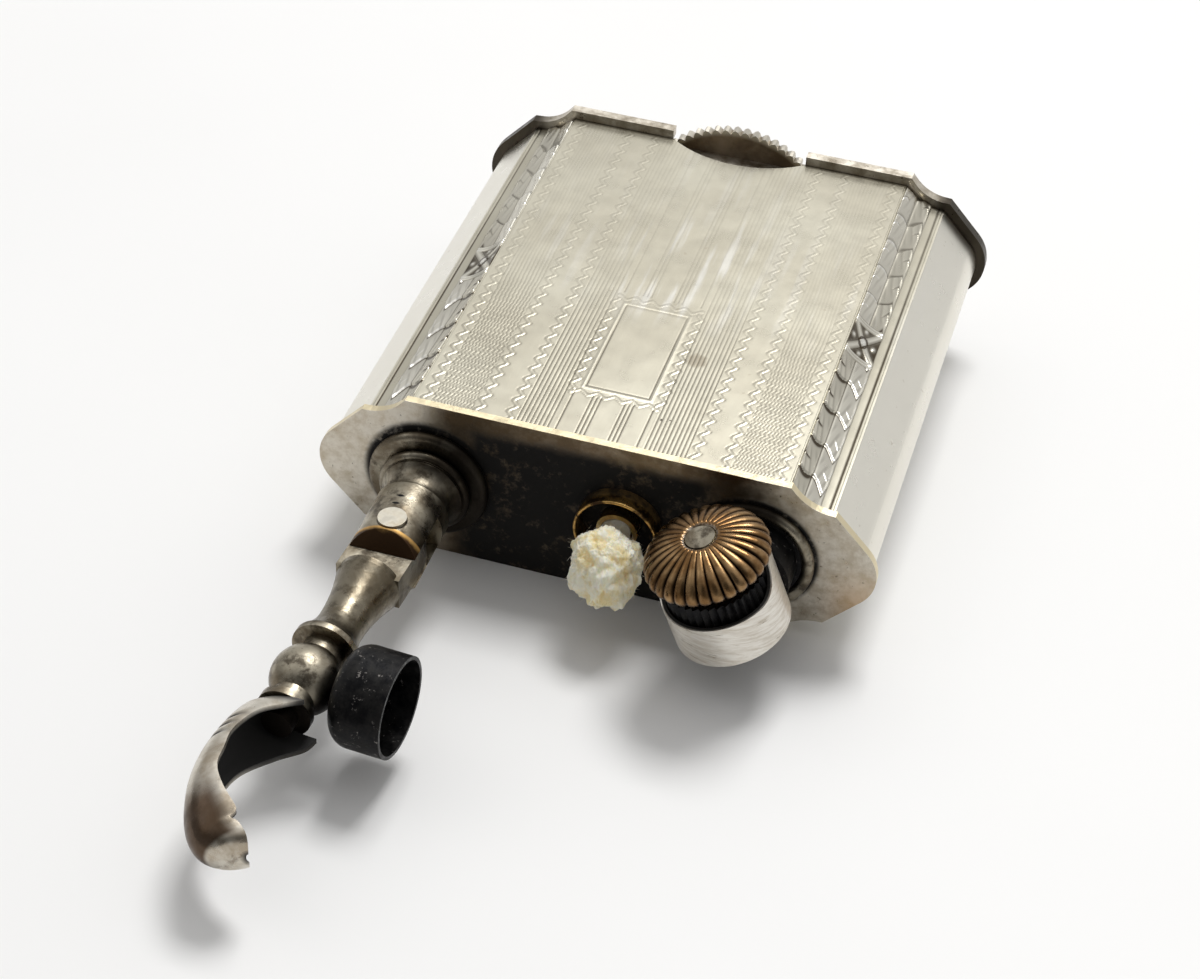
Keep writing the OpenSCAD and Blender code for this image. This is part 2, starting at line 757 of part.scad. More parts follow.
module striker_collar() {
  bead_rise = 0.3;
  color([0.64, 0.61, 0.54])
    from_top(striker_x)
      rotate_extrude()
        intersection() {
          translate([seat_r - seat_bead_r, bead_rise]) circle(r = seat_bead_r, $fn = 32);
          translate([seat_inner_r, 0]) square(2 * seat_bead_r);
        }
}

module striker_boss() {
  foot_h = 0.35;
  color([0.17, 0.17, 0.18])
    difference() {
      from_top(striker_x) {
        cylinder(r = seat_inner_r - fit_gap, h = foot_h);
        cylinder(r = boss_r, h = boss_h);
      }
      at_wheel(-4 * wheel_t) cylinder(r = housing_r + fit_gap, h = 8 * wheel_t);
      from_top(flint_x, -past, flint_up) cylinder(r = flint_r + run_gap, h = boss_h + 2 * past);
    }
}

module wheel_housing() {
  window_r = 2;
  flint_past = 0.8;
  window_w = 4 * housing_r;
  color([0.8, 0.78, 0.72])
    difference() {
      at_wheel(housing_floor_h)
        difference() {
          cylinder(r = housing_r, h = rear_h - housing_floor_h);
          translate([0, 0, housing_wall])
            cylinder(r = housing_r - housing_wall, h = rear_h - housing_floor_h);
          translate([0, 0, -past]) cylinder(r = axle_r + fit_gap, h = 2 * past);
        }
      at_wheel(front_h)
        rotate([90, 0, -90])
          translate([0, 0, -window_w / 2])
            linear_extrude(window_w) {
              translate([window_r, window_r]) circle(r = window_r, $fn = 96);
              translate([window_r, 0]) square([2 * housing_r, 2 * rim_h]);
              translate([0, window_r]) square([2 * housing_r, 2 * rim_h]);
            }
      from_top(flint_x, -past, flint_up) cylinder(r = flint_r + run_gap, h = crown_out + past + flint_past);
    }
}

dome_top_h = rim_h + dome_h * sqrt(1 - recess_r * recess_r / (dome_r * dome_r));
recess_h = dome_top_h - recess_depth;

module wheel_axle() {
  floor_h = housing_floor_h + housing_wall;
  head_r = 0.77 * recess_r;
  head_t = 0.63 * recess_depth;
  color([0.78, 0.76, 0.72])
    at_wheel() {
      translate([0, 0, housing_floor_h]) cylinder(r = axle_r, h = recess_h + run_gap - housing_floor_h);
      translate([0, 0, floor_h]) cylinder(r = shoulder_r, h = -wheel_t / 2 - run_gap - floor_h);
      translate([0, 0, recess_h + run_gap]) cylinder(r = head_r, h = head_t);
    }
}

module flint_wheel() {
  tooth_depth = 0.25;
  teeth = [for (i = [0 : 3 * wheel_teeth - 1])
    let (a = 120 * i / wheel_teeth, r = wheel_r - tooth_depth * (i % 3) / 2)
    r * [cos(a), sin(a)]];
  color([0.2, 0.2, 0.21])
    at_wheel(-wheel_t / 2)
      difference() {
        linear_extrude(wheel_t) polygon(teeth);
        translate([0, 0, -past]) cylinder(r = axle_r + run_gap, h = wheel_t + 2 * past);
      }
}

// The thumb dome: one closed loop from its rim over its top, down its bore and back under it.
// Each flute takes four loops; a point's third value is its share of the flute's depth.
module thumb_dome() {
  top_steps = 7;
  bore_gap = 0.08;
  rim_draft = 0.15;
  bore_r = axle_r + bore_gap;
  top_turn = acos(recess_r / dome_r);
  top = [for (i = [0 : top_steps])
    let (t = top_turn * i / top_steps)
    [dome_r * cos(t), rim_h + dome_h * sin(t), i == top_steps ? 0.4 : 1]];
  profile = concat(
    [[dome_r - rim_draft, rim_h - rim_t, 0.8]], top,
    [[recess_r - bore_gap, recess_h, 0], [bore_r, recess_h, 0], [bore_r, wheel_t / 2, 0],
     [hub_r, wheel_t / 2, 0], [hub_r, rim_h - rim_t, 0]]);
  valley = [1, 0.3, 0, 0.3];
  columns = 4 * dome_flutes;
  loops = [for (j = [0 : columns - 1])
    let (a = 360 * j / columns, v = valley[j % 4])
    [for (p = profile)
      let (sink = dome_flute * v * p[2], t = acos(min(p[0] / dome_r, 1)))
      let (r = p[0] - sink * cos(t), h = p[1] - sink * sin(t) * (p[1] > rim_h ? 1 : 0))
      [r * cos(a), r * sin(a), h]]];
  color([0.55, 0.4, 0.22])
    at_wheel() skin(loops, closed = true);
}

// Flint feed, along the flint's line from the flint wheel to the base

flint_back = crown_out - run_gap - flint_len;
follower_back = flint_back - follower_len;
screw_tip = -total_len + base_t + flint_shank_len;
feed_r = flint_r;

module flint_tube() {
  color([0.7, 0.55, 0.28])
    from_top(flint_x, base_t - total_len, flint_up)
      ring(flint_tube_r, flint_r + run_gap, total_len - base_t);
}

module flint() {
  wear = 0.5;
  color([0.3, 0.28, 0.27])
    difference() {
      from_top(flint_x, flint_back, flint_up) cylinder(r = flint_r, h = flint_len + wear);
      at_wheel(-2 * wheel_t) cylinder(r = wheel_r + run_gap, h = 4 * wheel_t);
    }
}

module flint_follower() {
  color([0.72, 0.58, 0.3])
    from_top(flint_x, follower_back, flint_up) cylinder(r = feed_r, h = follower_len);
}

module flint_spring() {
  side_gap = 0.1;
  color([0.45, 0.45, 0.47])
    from_top(flint_x, screw_tip, flint_up)
      coil(feed_r - spring_wire / 2 - side_gap, 16, follower_back - screw_tip);
}

module flint_screw() {
  slot_w = 0.5;
  slot_depth = 0.35;
  color([0.7, 0.6, 0.4])
    from_base(flint_x, -base_t, flint_up)
      difference() {
        union() {
          cylinder(r = flint_head_r, h = filler_t);
          translate([0, 0, -flint_shank_len]) cylinder(r = feed_r, h = flint_shank_len);
        }
        translate([-flint_head_r - past, -slot_w / 2, filler_t - slot_depth])
          cube([2 * (flint_head_r + past), slot_w, 2 * slot_depth]);
      }
}

case_shell();
top_plate();
base_plate();
filler_bush();
filler_washer();
filler_screw();
cotton_wadding();
wick();
wick_tube();
wick_guard();
wick_tuft();
hinge_collar();
hinge_post();
hinge_rivet();
arm_plunger();
plunger_spring();
arm_stem();
arm_knuckle();
snuffer_stud();
snuffer_cap();
finger_lift();
striker_collar();
striker_boss();
wheel_housing();
wheel_axle();
flint_wheel();
thumb_dome();
flint_tube();
flint();
flint_follower();
flint_spring();
flint_screw();
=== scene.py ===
"""The looks of a lift arm lighter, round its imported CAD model.

Shapes and places are written in millimetres and scaled by MM. Lamps, camera and the table's
radius are in metres.
"""
import math

import bmesh
import bpy
import numpy as np
from mathutils import Matrix, Vector, noise

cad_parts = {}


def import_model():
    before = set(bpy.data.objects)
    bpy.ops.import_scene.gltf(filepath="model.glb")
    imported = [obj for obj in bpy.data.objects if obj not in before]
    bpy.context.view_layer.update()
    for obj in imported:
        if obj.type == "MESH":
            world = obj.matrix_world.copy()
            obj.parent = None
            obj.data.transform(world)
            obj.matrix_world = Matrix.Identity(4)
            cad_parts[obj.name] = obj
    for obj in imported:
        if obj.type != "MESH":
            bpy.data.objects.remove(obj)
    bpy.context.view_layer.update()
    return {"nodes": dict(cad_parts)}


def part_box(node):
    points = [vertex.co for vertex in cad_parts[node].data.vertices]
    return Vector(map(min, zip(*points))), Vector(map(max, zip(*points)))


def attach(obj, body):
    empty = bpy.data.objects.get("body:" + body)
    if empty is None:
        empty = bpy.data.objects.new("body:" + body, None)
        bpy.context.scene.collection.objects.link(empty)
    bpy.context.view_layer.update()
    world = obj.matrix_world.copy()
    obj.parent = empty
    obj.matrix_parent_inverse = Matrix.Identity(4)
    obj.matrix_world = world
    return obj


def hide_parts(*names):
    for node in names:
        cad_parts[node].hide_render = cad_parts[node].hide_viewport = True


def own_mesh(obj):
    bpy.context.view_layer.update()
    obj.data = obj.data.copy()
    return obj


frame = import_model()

MM = 0.001

# The CAD model's places and sizes, in MM. First the end plates' outer faces and the case's section
TOP_Y, BASE_Y = -19.35, 19.35
PLATE_TOP_T, BASE_T = 0.6, 0.8
CASE_T, PANEL_W = 11.94, 26.56
STRIP_W, STRIP_DROP, FLUTE_DEPTH = 32.88, 1.61, 0.42
MID_Z = CASE_T / 2
FRONT_Z = (MID_Z, MID_Z + 1)  # A ramp over these is 1 on the front half only
FILLER_R = 7.75
# Thumb notch under the filler disc
NOTCH_HALF, NOTCH_DEPTH = 5.3, 1.9
# Hinge and arm
POST_X, POST_R, PIVOT_OUT, ARM_OPEN = -11.65, 2.62, 7.5, 3.5
RIVET_R = (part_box("hinge_rivet")[1][0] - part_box("hinge_rivet")[0][0]) / 2 / MM
LIFT_ROOT, LIFT_WALL = 16.7, 0.4
# Wheel and dome: heights from the wheel's middle, along its axle
WHEEL_AT, WHEEL_TILT, WHEEL_LEAN = (10.6, TOP_Y - 5.45, MID_Z + 0.95), 18.2, 6.9
WHEEL_T, HOUSING_BORE = 4.2, 3.9
RIM_H, RIM_T, DOME_R, DOME_H, DOME_FLUTES = 3.5, 0.35, 4.32, 2.0, 30
RECESS_R, RECESS_DEPTH, DOME_BORE, DOME_HUB = 1.3, 0.35, 0.78, 2.4
STRIKER_X = 11.2
# Wick
WICK_X = sum(c[0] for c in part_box("wick_guard")) / 2 / MM
WICK_R, WICK_IN, WICK_OUT = 1.1, 13.0, 1.0


def rot(axis, degrees):
    return Matrix.Rotation(math.radians(degrees), 4, axis)


def move(x, y, z):
    return Matrix.Translation((x, y, z))


def from_top(x):
    """Local +Z points out of the lighter's top, local +Y is up."""
    return move(x, TOP_Y, MID_Z) @ rot("X", 90)


def along_arm(s):
    """Local +Z runs along the arm, local +X to the snuffer's side."""
    pivot = move(POST_X, TOP_Y - PIVOT_OUT, MID_Z) @ rot("Z", -ARM_OPEN)
    return pivot @ rot("X", 90) @ move(0, 0, s)


def at_wheel():
    """Local +Z runs along the wheel's axle towards the dome."""
    return move(*WHEEL_AT) @ rot("Y", -WHEEL_TILT) @ rot("X", WHEEL_LEAN)


# Mesh building

def piece(name, points, faces, body, placing=None, sharp=None, replaces=()):
    """A mesh object from points in MM, smooth shaded, riding on a body."""
    pts = np.asarray(points, float)
    if placing is not None:
        m = np.array(placing)
        pts = pts @ m[:3, :3].T + m[:3, 3]
    mesh = bpy.data.meshes.new(name)
    mesh.from_pydata((pts * MM).tolist(), [], [tuple(int(i) for i in f) for f in faces])
    mesh.validate()
    mesh.shade_smooth()
    if sharp is not None:
        mesh.set_sharp_from_angle(angle=math.radians(sharp))
    obj = bpy.data.objects.new(name, mesh)
    bpy.context.scene.collection.objects.link(obj)
    if replaces:
        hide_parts(*replaces)
    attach(obj, body)
    return obj


def grid_faces(rows, cols, wrap_rows=False, wrap_cols=False):
    """Quads over a rows x cols grid of points."""
    out = []
    for i in range(rows if wrap_rows else rows - 1):
        a = i * cols
        b = (i + 1) % rows * cols
        for j in range(cols if wrap_cols else cols - 1):
            k = (j + 1) % cols
            out.append((a + j, a + k, b + k, b + j))
    return out


def store(obj, name, values):
    """A number for each vertex, that a material can read."""
    attribute = obj.data.attributes.new(name, "FLOAT", "POINT")
    attribute.data.foreach_set("value", np.asarray(values, np.float32).ravel())


def ridge(distance, width):
    """A soft bump of height 1 where the distance is 0."""
    return np.exp(-(distance / width) ** 2)


def triangle(phase):
    """A zigzag between -1 and 1."""
    return 2 * np.abs(2 * (phase - np.floor(phase + 0.5))) - 1


def smoothstep(lo, hi, v):
    """Rises softly from 0 at lo to 1 at hi; falls where hi is the lower one."""
    t = np.clip((v - lo) / (hi - lo), 0, 1)
    return t * t * (3 - 2 * t)


# Engraved panels

# The cartouche's middle and half width, and where it ends along the case
CARTOUCHE_X, FRAME_HALF, FRAME_LOW, FRAME_HIGH = -0.3, 2.45, -13.3, -3.2
FRESH_Y, WORN_Y, WORN_LEFT = -13, 3, 0.14  # Between these the pattern wears down to a small share
# Wavy bead lines and the fine band, from the panel's middle
WAVE_LINES, WAVE_REACH, WAVE_PERIOD, WAVE_SWING = (6.5, 8.65, 12.45), 0.6, 1.22, 0.22
BAND_FROM, BAND_TO, BAND_PITCH = 9.05, 12.1, 0.265
# Straight lines, from the cartouche's middle
LINES_FROM, LINES_TO, LINES_PITCH = 3.15, 5.95, 0.31
MIDDLE_LINES, MIDDLE_HALF = (0.85, 1.15, 1.45, 2.85), 2.95
GROOVE_W = 0.055
PANEL_LIFT, PANEL_RIM = 0.045, -0.04  # The relief's ground over the case, its rim in the wall


def wave(across, along):
    """Height of a wavy bead line with a cut at each side; its middle is at across = 0."""
    bead, bead_w, cut, cut_w, cut_at = 0.022, 0.085, 0.011, 0.07, 0.19
    phase = along / WAVE_PERIOD
    shape = 0.6 * np.sin(2 * math.pi * phase) + 0.4 * triangle(phase + 0.25)
    d = across - WAVE_SWING * shape
    return bead * ridge(d, bead_w) - cut * ridge(np.abs(d) - cut_at, cut_w)


def grooves(across, pitch, width):
    """Depth share of evenly spaced thin grooves."""
    return ridge(((across / pitch + 0.5) % 1 - 0.5) * pitch, width)


def engraving(x, y, cartouche):
    """Height in MM of the engine-turned pattern on a panel; it is worn towards the base end."""
    band_cut, line_cut, middle_cut = 0.014, 0.017, 0.02
    h = np.zeros_like(x)
    ax = np.abs(x)
    fresh = WORN_LEFT + (1 - WORN_LEFT) * smoothstep(WORN_Y, FRESH_Y, y)
    for place in WAVE_LINES:
        near = np.abs(ax - place) < WAVE_REACH
        h += (0.25 + 0.75 * fresh) * wave(ax - place, y + 0.3 * place) * near
    # Fine wavy band between its two bead lines
    band = smoothstep(BAND_FROM, BAND_FROM + 0.1, ax) * smoothstep(BAND_TO, BAND_TO - 0.1, ax)
    swing = 0.1 * fresh ** 2 * (triangle(y / 0.62) + 0.8 * np.sin(y / 0.37 + 2.2 * ax))
    swing = swing + 0.06 * np.sin(y / 1.7 + ax)
    h -= band * band_cut * fresh * grooves(ax - BAND_FROM + swing, BAND_PITCH, GROOVE_W)
    # Straight lines beside the middle
    lx = np.abs(x - CARTOUCHE_X)
    lines = (lx > LINES_FROM) & (ax < LINES_TO)
    h -= lines * line_cut * fresh * grooves(lx, LINES_PITCH, GROOVE_W)
    # Groups of lines in the middle, which stop at the bare cartouche
    ruled = lx < MIDDLE_HALF
    if cartouche:
        ruled = ruled & ((y < FRAME_LOW - 0.8) | (y > FRAME_HIGH + 1.2))
    for place in MIDDLE_LINES:
        h -= ruled * middle_cut * fresh * ridge(lx - place, GROOVE_W)
    if cartouche:
        h += cartouche_frame(x, y, lx)
    return h


def cartouche_frame(x, y, lx):
    """Height of the cartouche's raised frame and the waves round it; lx is from its middle."""
    mid_y, half_y = (FRAME_LOW + FRAME_HIGH) / 2, (FRAME_HIGH - FRAME_LOW) / 2
    dx, dy = lx - FRAME_HALF, np.abs(y - mid_y) - half_y
    inside = (dx < 0) & (dy < 0)
    edge = np.where(inside, np.maximum(dx, dy), np.hypot(np.maximum(dx, 0), np.maximum(dy, 0)))
    seen = 0.45 + 0.55 * smoothstep(-3, -8, y)
    frame_line = 0.03 * ridge(edge, 0.1) - 0.02 * ridge(edge + 0.2, 0.06)
    side = (dx > dy) & (dy < 0.75) & (lx < 3.7)
    end = (dy >= dx) & (lx < 3.3) & (dy < 1.2)
    return seen * frame_line + seen * (side * wave(dx - 0.65, y) + end * wave(dy - 0.6, x))


def rim_of(grid):
    """Marks the outermost rows and columns of a grid."""
    rim = np.zeros_like(grid, bool)
    rim[0], rim[-1], rim[:, 0], rim[:, -1] = True, True, True, True
    return rim


def rows_along_case(count):
    """Places along the case, between its end plates."""
    return np.linspace(TOP_Y + PLATE_TOP_T + 0.01, BASE_Y - BASE_T - 0.01, count)


def panel_piece(name, front):
    """One engraved panel: a relief whose rim dips into the case's wall."""
    cols, rows, inset = 661, 300, 0.06
    full_groove, full_bead, darkest, brightest = 0.02, 0.03, 0.85, 0.08
    xs = np.linspace(-PANEL_W / 2 + inset, PANEL_W / 2 - inset, cols)
    x, y = np.meshgrid(xs, rows_along_case(rows))
    h = engraving(x, y, front)
    if not front:
        x = -x
    lift = np.where(rim_of(h), PANEL_RIM, PANEL_LIFT + h)
    z = CASE_T + lift if front else -lift
    points = np.stack([x, y, z], -1).reshape(-1, 3)
    obj = piece(name, points, grid_faces(rows, cols), "case")
    # The engraved grooves are darkened as tarnished lines; the beads are painted brighter as painted
    # highlights
    store(obj, "tarnish_and_shade", np.clip(-h / full_groove, 0, 1) * darkest)
    store(obj, "bright", np.clip(h / full_bead, 0, 1) * brightest)
    return obj


def cut_notch(obj):
    """Takes the panel's faces out of the thumb notch under the filler disc."""
    r = (NOTCH_HALF ** 2 + NOTCH_DEPTH ** 2) / (2 * NOTCH_DEPTH)
    middle = BASE_Y - BASE_T - NOTCH_DEPTH + r
    bm = bmesh.new()
    bm.from_mesh(obj.data)
    gone = [v for v in bm.verts if math.hypot(v.co.x / MM, v.co.y / MM - middle) < r + 0.05]
    bmesh.ops.delete(bm, geom=gone, context="VERTS")
    bm.to_mesh(obj.data)
    bm.free()


# Laurel strips

RIBBON_AT, RIBBON_HALF, LEAF_PITCH = -0.8, 1.9, 3.55
STEM_D, LEAF_HALF, EDGE_LINE_D = 1.25, 1.28, 3.15  # Along the flute, from the panel's corner


def leaves(c, q, y):
    """Height, painted shade and painted highlights of the leaves.

    c is 0 on the stem and 1 at the outer tips, and q runs away from the ribbon.
    """
    a = np.clip(np.abs(c), 0, 1)
    outer, upper = c > 0, y > RIBBON_AT
    # Pairs of overlapping leaves: the outer one ends in a point, the inner one is round
    tip = 0.82
    point = 1.2 * np.where(a < tip, (a / tip) ** 1.45, 1 - 5 * (a - tip))
    bulge = 1 - ((a - 0.5) / 0.5) ** 2
    shift = q - np.where(outer, point, 0.34 * bulge) + 0.12 * np.sin(2.3 * q + y)
    cell = shift / LEAF_PITCH + 0.2
    cell -= np.floor(cell)
    past, before = cell * LEAF_PITCH, (1 - cell) * LEAF_PITCH
    taper = smoothstep(0, 0.3, a) * smoothstep(1.0, 0.8, a)
    # A small lobe at the side of each leaf
    lx, ly = (a - 0.72) * LEAF_HALF, (cell - 0.5) * LEAF_PITCH
    lobe = ridge(np.hypot(lx, ly) - 0.4, 0.1) * smoothstep(-0.1, 0.2, 0.7 * lx + 0.7 * ly)
    veins = np.sin((a - 0.5) * 17 + cell * 9) * smoothstep(0.1, 0.5, cell) * taper
    height = 0.04 * np.sqrt(np.clip(bulge, 0, 1))
    height += 0.13 * cell ** 1.5 * smoothstep(1.0, 0.96, cell)
    height += 0.05 * lobe + 0.008 * veins - 0.04 * ridge(a, 0.09)
    # Painted light: leaves facing the light get painted highlights on their tips, the others painted
    # shadows at their edges
    lit = outer != upper
    soft = np.where(upper, 0.6, 1.0)
    bright = lit * soft * (ridge(before - 0.14, 0.1 + 0.07 * a) * taper + 0.9 * lobe)
    bright = bright + np.where(lit, 0.42, 0.22)
    shaded = ridge(past - 0.15, 0.18) * (0.3 + 0.7 * taper) + 0.8 * lobe
    edge = np.where(lit, 0.6 * ridge(past - 0.09, 0.1), shaded)
    dark = edge * soft + 0.16 * (1 - cell) ** 1.5 + np.where(lit, 0.0, 0.06)
    dark = dark + 0.2 * np.clip(-veins, 0, 1) + 0.45 * ridge(a, 0.04)
    return height, dark, bright


def ribbon(c, y):
    """Height, painted shade and painted highlights of the crossed ribbon, its knot, berries and
    bars.
    """
    r = (y - RIBBON_AT) / RIBBON_HALF
    rising, falling, away = c - r, c + r, np.hypot(c, r)
    cross = np.maximum(ridge(rising, 0.26), ridge(falling, 0.26))
    folds = ridge(rising, 0.06) + ridge(falling, 0.06)
    places = ((0.72, 0), (-0.72, 0), (0, 0.68), (0, -0.68))
    berries = sum(ridge(np.hypot(c - m, r - n), 0.13) for m, n in places)
    bars = ridge(np.abs(np.abs(y - RIBBON_AT) - RIBBON_HALF) - 0.14, 0.1)
    raised = 0.08 * cross - 0.03 * folds + 0.07 * ridge(away, 0.22)
    height = np.maximum(raised + 0.07 * berries, 0.1 * bars)
    cuts = ridge(np.abs(rising) - 0.3, 0.05) + ridge(np.abs(falling) - 0.3, 0.05)
    cuts = cuts + ridge(away - 0.3, 0.05)
    # Painted shade in the ground between the raised parts and along the cuts; painted highlights on
    # the raised parts
    ground = 0.75 * (1 - np.clip(cross + berries + bars * 5, 0, 1))
    dark = np.maximum(ground, 0.8 * cuts * (1 - bars) * (np.abs(r) < 0.85))
    bright = np.clip(0.85 * berries + 0.8 * ridge(away, 0.24) + 0.4 * cross + 0.6 * bars, 0, 1)
    return height, dark, bright


def laurel(d, y):
    """Height in MM, painted shade and painted highlights of a strip; d runs from the panel's corner
    outward.
    """
    q = np.abs(y - RIBBON_AT) - RIBBON_HALF
    c = (d - STEM_D) / LEAF_HALF
    inside = q < 0.3
    h, dark, bright = (np.where(inside, a, b) for a, b in zip(ribbon(c, y), leaves(c, q, y)))
    on = smoothstep(1.0, 0.95, np.abs(c))
    # Painted shadow along the panel's edge, and a weaker one along the leaves' outer ends; the
    # engraved edge line is dark too
    edge_shade = ridge(c + 1.0, 0.05) + 0.3 * ridge(c - 1.0, 0.04)
    line = ridge(d - EDGE_LINE_D, 0.06)
    band = 0.1 * smoothstep(1.0, 1.1, c)
    dark = np.clip(dark * on + 0.75 * edge_shade + 0.9 * line + band, 0, 1)
    return h * on - 0.03 * line, dark, np.clip(bright * on, 0, 1)


def strip_piece(name, side, front):
    """A fluted strip with its laurel, laid on the flute's hollow arc."""
    cols, rows, rim_lift, ground_lift = 72, 640, -0.03, 0.06
    a, b = np.array([PANEL_W / 2, MID_Z]), np.array([STRIP_W / 2, MID_Z - STRIP_DROP])
    chord = np.linalg.norm(b - a)
    along = (b - a) / chord
    out = np.array([-along[1], along[0]])
    out = out if out @ a > 0 else -out
    d, y = np.meshgrid(np.linspace(0.05, chord - 0.12, cols), rows_along_case(rows))
    sunk = FLUTE_DEPTH * (1 - (2 * d / chord - 1) ** 2)
    h, dark, bright = laurel(d, y)
    lift = np.where(rim_of(h), rim_lift, ground_lift + h) - sunk
    x = side * (a[0] + along[0] * d + out[0] * lift)
    z = a[1] + along[1] * d + out[1] * lift
    z = MID_Z + z if front else MID_Z - z
    points = np.stack([x, y, z], -1).reshape(-1, 3)
    obj = piece(name, points, grid_faces(rows, cols), "case")
    # The leaves are darkest towards the top plate
    # The leaves' darkness stored here is painted shade with dark engraved lines; their brightness is
    # painted highlights
    store(obj, "tarnish_and_shade", np.clip(dark * (0.85 + 0.55 * smoothstep(10, -4, y)), 0, 1))
    store(obj, "bright", bright)
    return obj


# Turned and pressed pieces

def thumb_dome():
    """The fluted dome: convex ridges with sharp valleys that fade towards the recess."""
    per_flute, top_steps, recess_steps, flute_depth = 14, 26, 5, 0.27
    recess_top = RIM_H + DOME_H * math.sqrt(1 - (RECESS_R / DOME_R) ** 2)
    floor = recess_top - RECESS_DEPTH
    turn = math.acos(RECESS_R / DOME_R)
    under = RIM_H - RIM_T
    # Radius, height, share of the flutes' depth, and slope of the surface there
    profile = [(DOME_HUB, under, 0, 0), (DOME_R - 0.3, under, 0.5, 0),
               (DOME_R - 0.08, under + 0.1, 0.9, 0)]
    for i in range(top_steps + 1):
        t = turn * i / top_steps
        share = min(1.0, 1.15 - 0.75 * (i / top_steps) ** 2)
        profile.append((DOME_R * math.cos(t), RIM_H + DOME_H * math.sin(t), share, t))
    for i in range(1, recess_steps + 1):
        t = i / recess_steps
        drop = RECESS_DEPTH * math.sin(t * math.pi / 2)
        profile.append((RECESS_R - 0.12 - 0.3 * t, recess_top - drop, 0.25 * (1 - t), 0))
    profile += [(r, h, 0, 0) for r, h in
                ((DOME_BORE, floor), (DOME_BORE, WHEEL_T / 2), (DOME_HUB, WHEEL_T / 2))]
    columns = per_flute * DOME_FLUTES
    points, cavity, radius = [], [], []
    for k in range(columns):
        a = 2 * math.pi * k / columns
        u = 2 * (k % per_flute) / per_flute - 1
        sink = 1 - math.sqrt(max(0.0, 1 - (0.97 * u) ** 2))
        for r, h, share, t in profile:
            d = flute_depth * sink * share * (0.35 + 0.65 * min(1.0, r / DOME_R))
            rr, hh = r - d * math.cos(t), h - d * math.sin(t)
            points.append((rr * math.cos(a), rr * math.sin(a), hh))
            cavity.append(sink * share)
            radius.append(r)
    faces = grid_faces(columns, len(profile), True, True)
    obj = piece("thumb_dome_fluted", points, faces, "wheel", at_wheel(), sharp=50,
                replaces=["thumb_dome"])
    store(obj, "cavity", cavity)
    store(obj, "radius", radius)
    return obj


# Finger lift, as in the CAD model. Each row holds its back, its front edge and its rear edge, each
# as the way along the arm and the way towards the snuffer's side, and then the half width
LIFT_ROWS = np.array([
    [0, -1.75, 0, 1.5, 0, 2.2, 1.8],
    [0.8, -2.5, 0.9, 0.5, 0.9, 1.8, 1.95],
    [2.5, -2.85, 2.1, -0.7, 2.2, 0.4, 2.05],
    [4.6, -2.95, 4.1, -1.3, 4.1, -1.1, 2.15],
    [6.5, -2.85, 5.7, -1.1, 6.1, -1.45, 2.2],
    [8.3, -2.45, 7.1, -0.85, 7.9, -1.1, 2.2],
    [10.1, -1.7, 8.4, 0.15, 9.4, 0, 2.15],
    [11.5, -0.8, 9.7, 1.7, 10.3, 1.1, 2.05],
    [12.3, 0.2, 10.4, 2.15, 10.6, 1.95, 1.9],
    [12.4, 1.2, 10.9, 2.85, 10.9, 2.7, 1.65],
    [12, 2.1, 11.2, 3.15, 11.1, 3.1, 1.25],
    [11.6, 2.75, 11.4, 3.25, 11.4, 3.2, 0.7]])


def lift_row(i, t):
    """A smooth row between rows i and i + 1."""
    last = len(LIFT_ROWS) - 1
    a, b, c, d = (LIFT_ROWS[k] for k in (max(i - 1, 0), i, i + 1, min(i + 2, last)))
    bend, twist = 2 * a - 5 * b + 4 * c - d, 3 * b - a - 3 * c + d
    return b + t * (c - a) / 2 + t * t * bend / 2 + t ** 3 * twist / 2


FILE_MARKS, MARK_W, MARK_DEPTH = (2.9, 3.8, 4.7), 0.19, 0.2
NICK_AT, NICK_W, NICK_DEPTH = 10.15, 0.22, 0.42


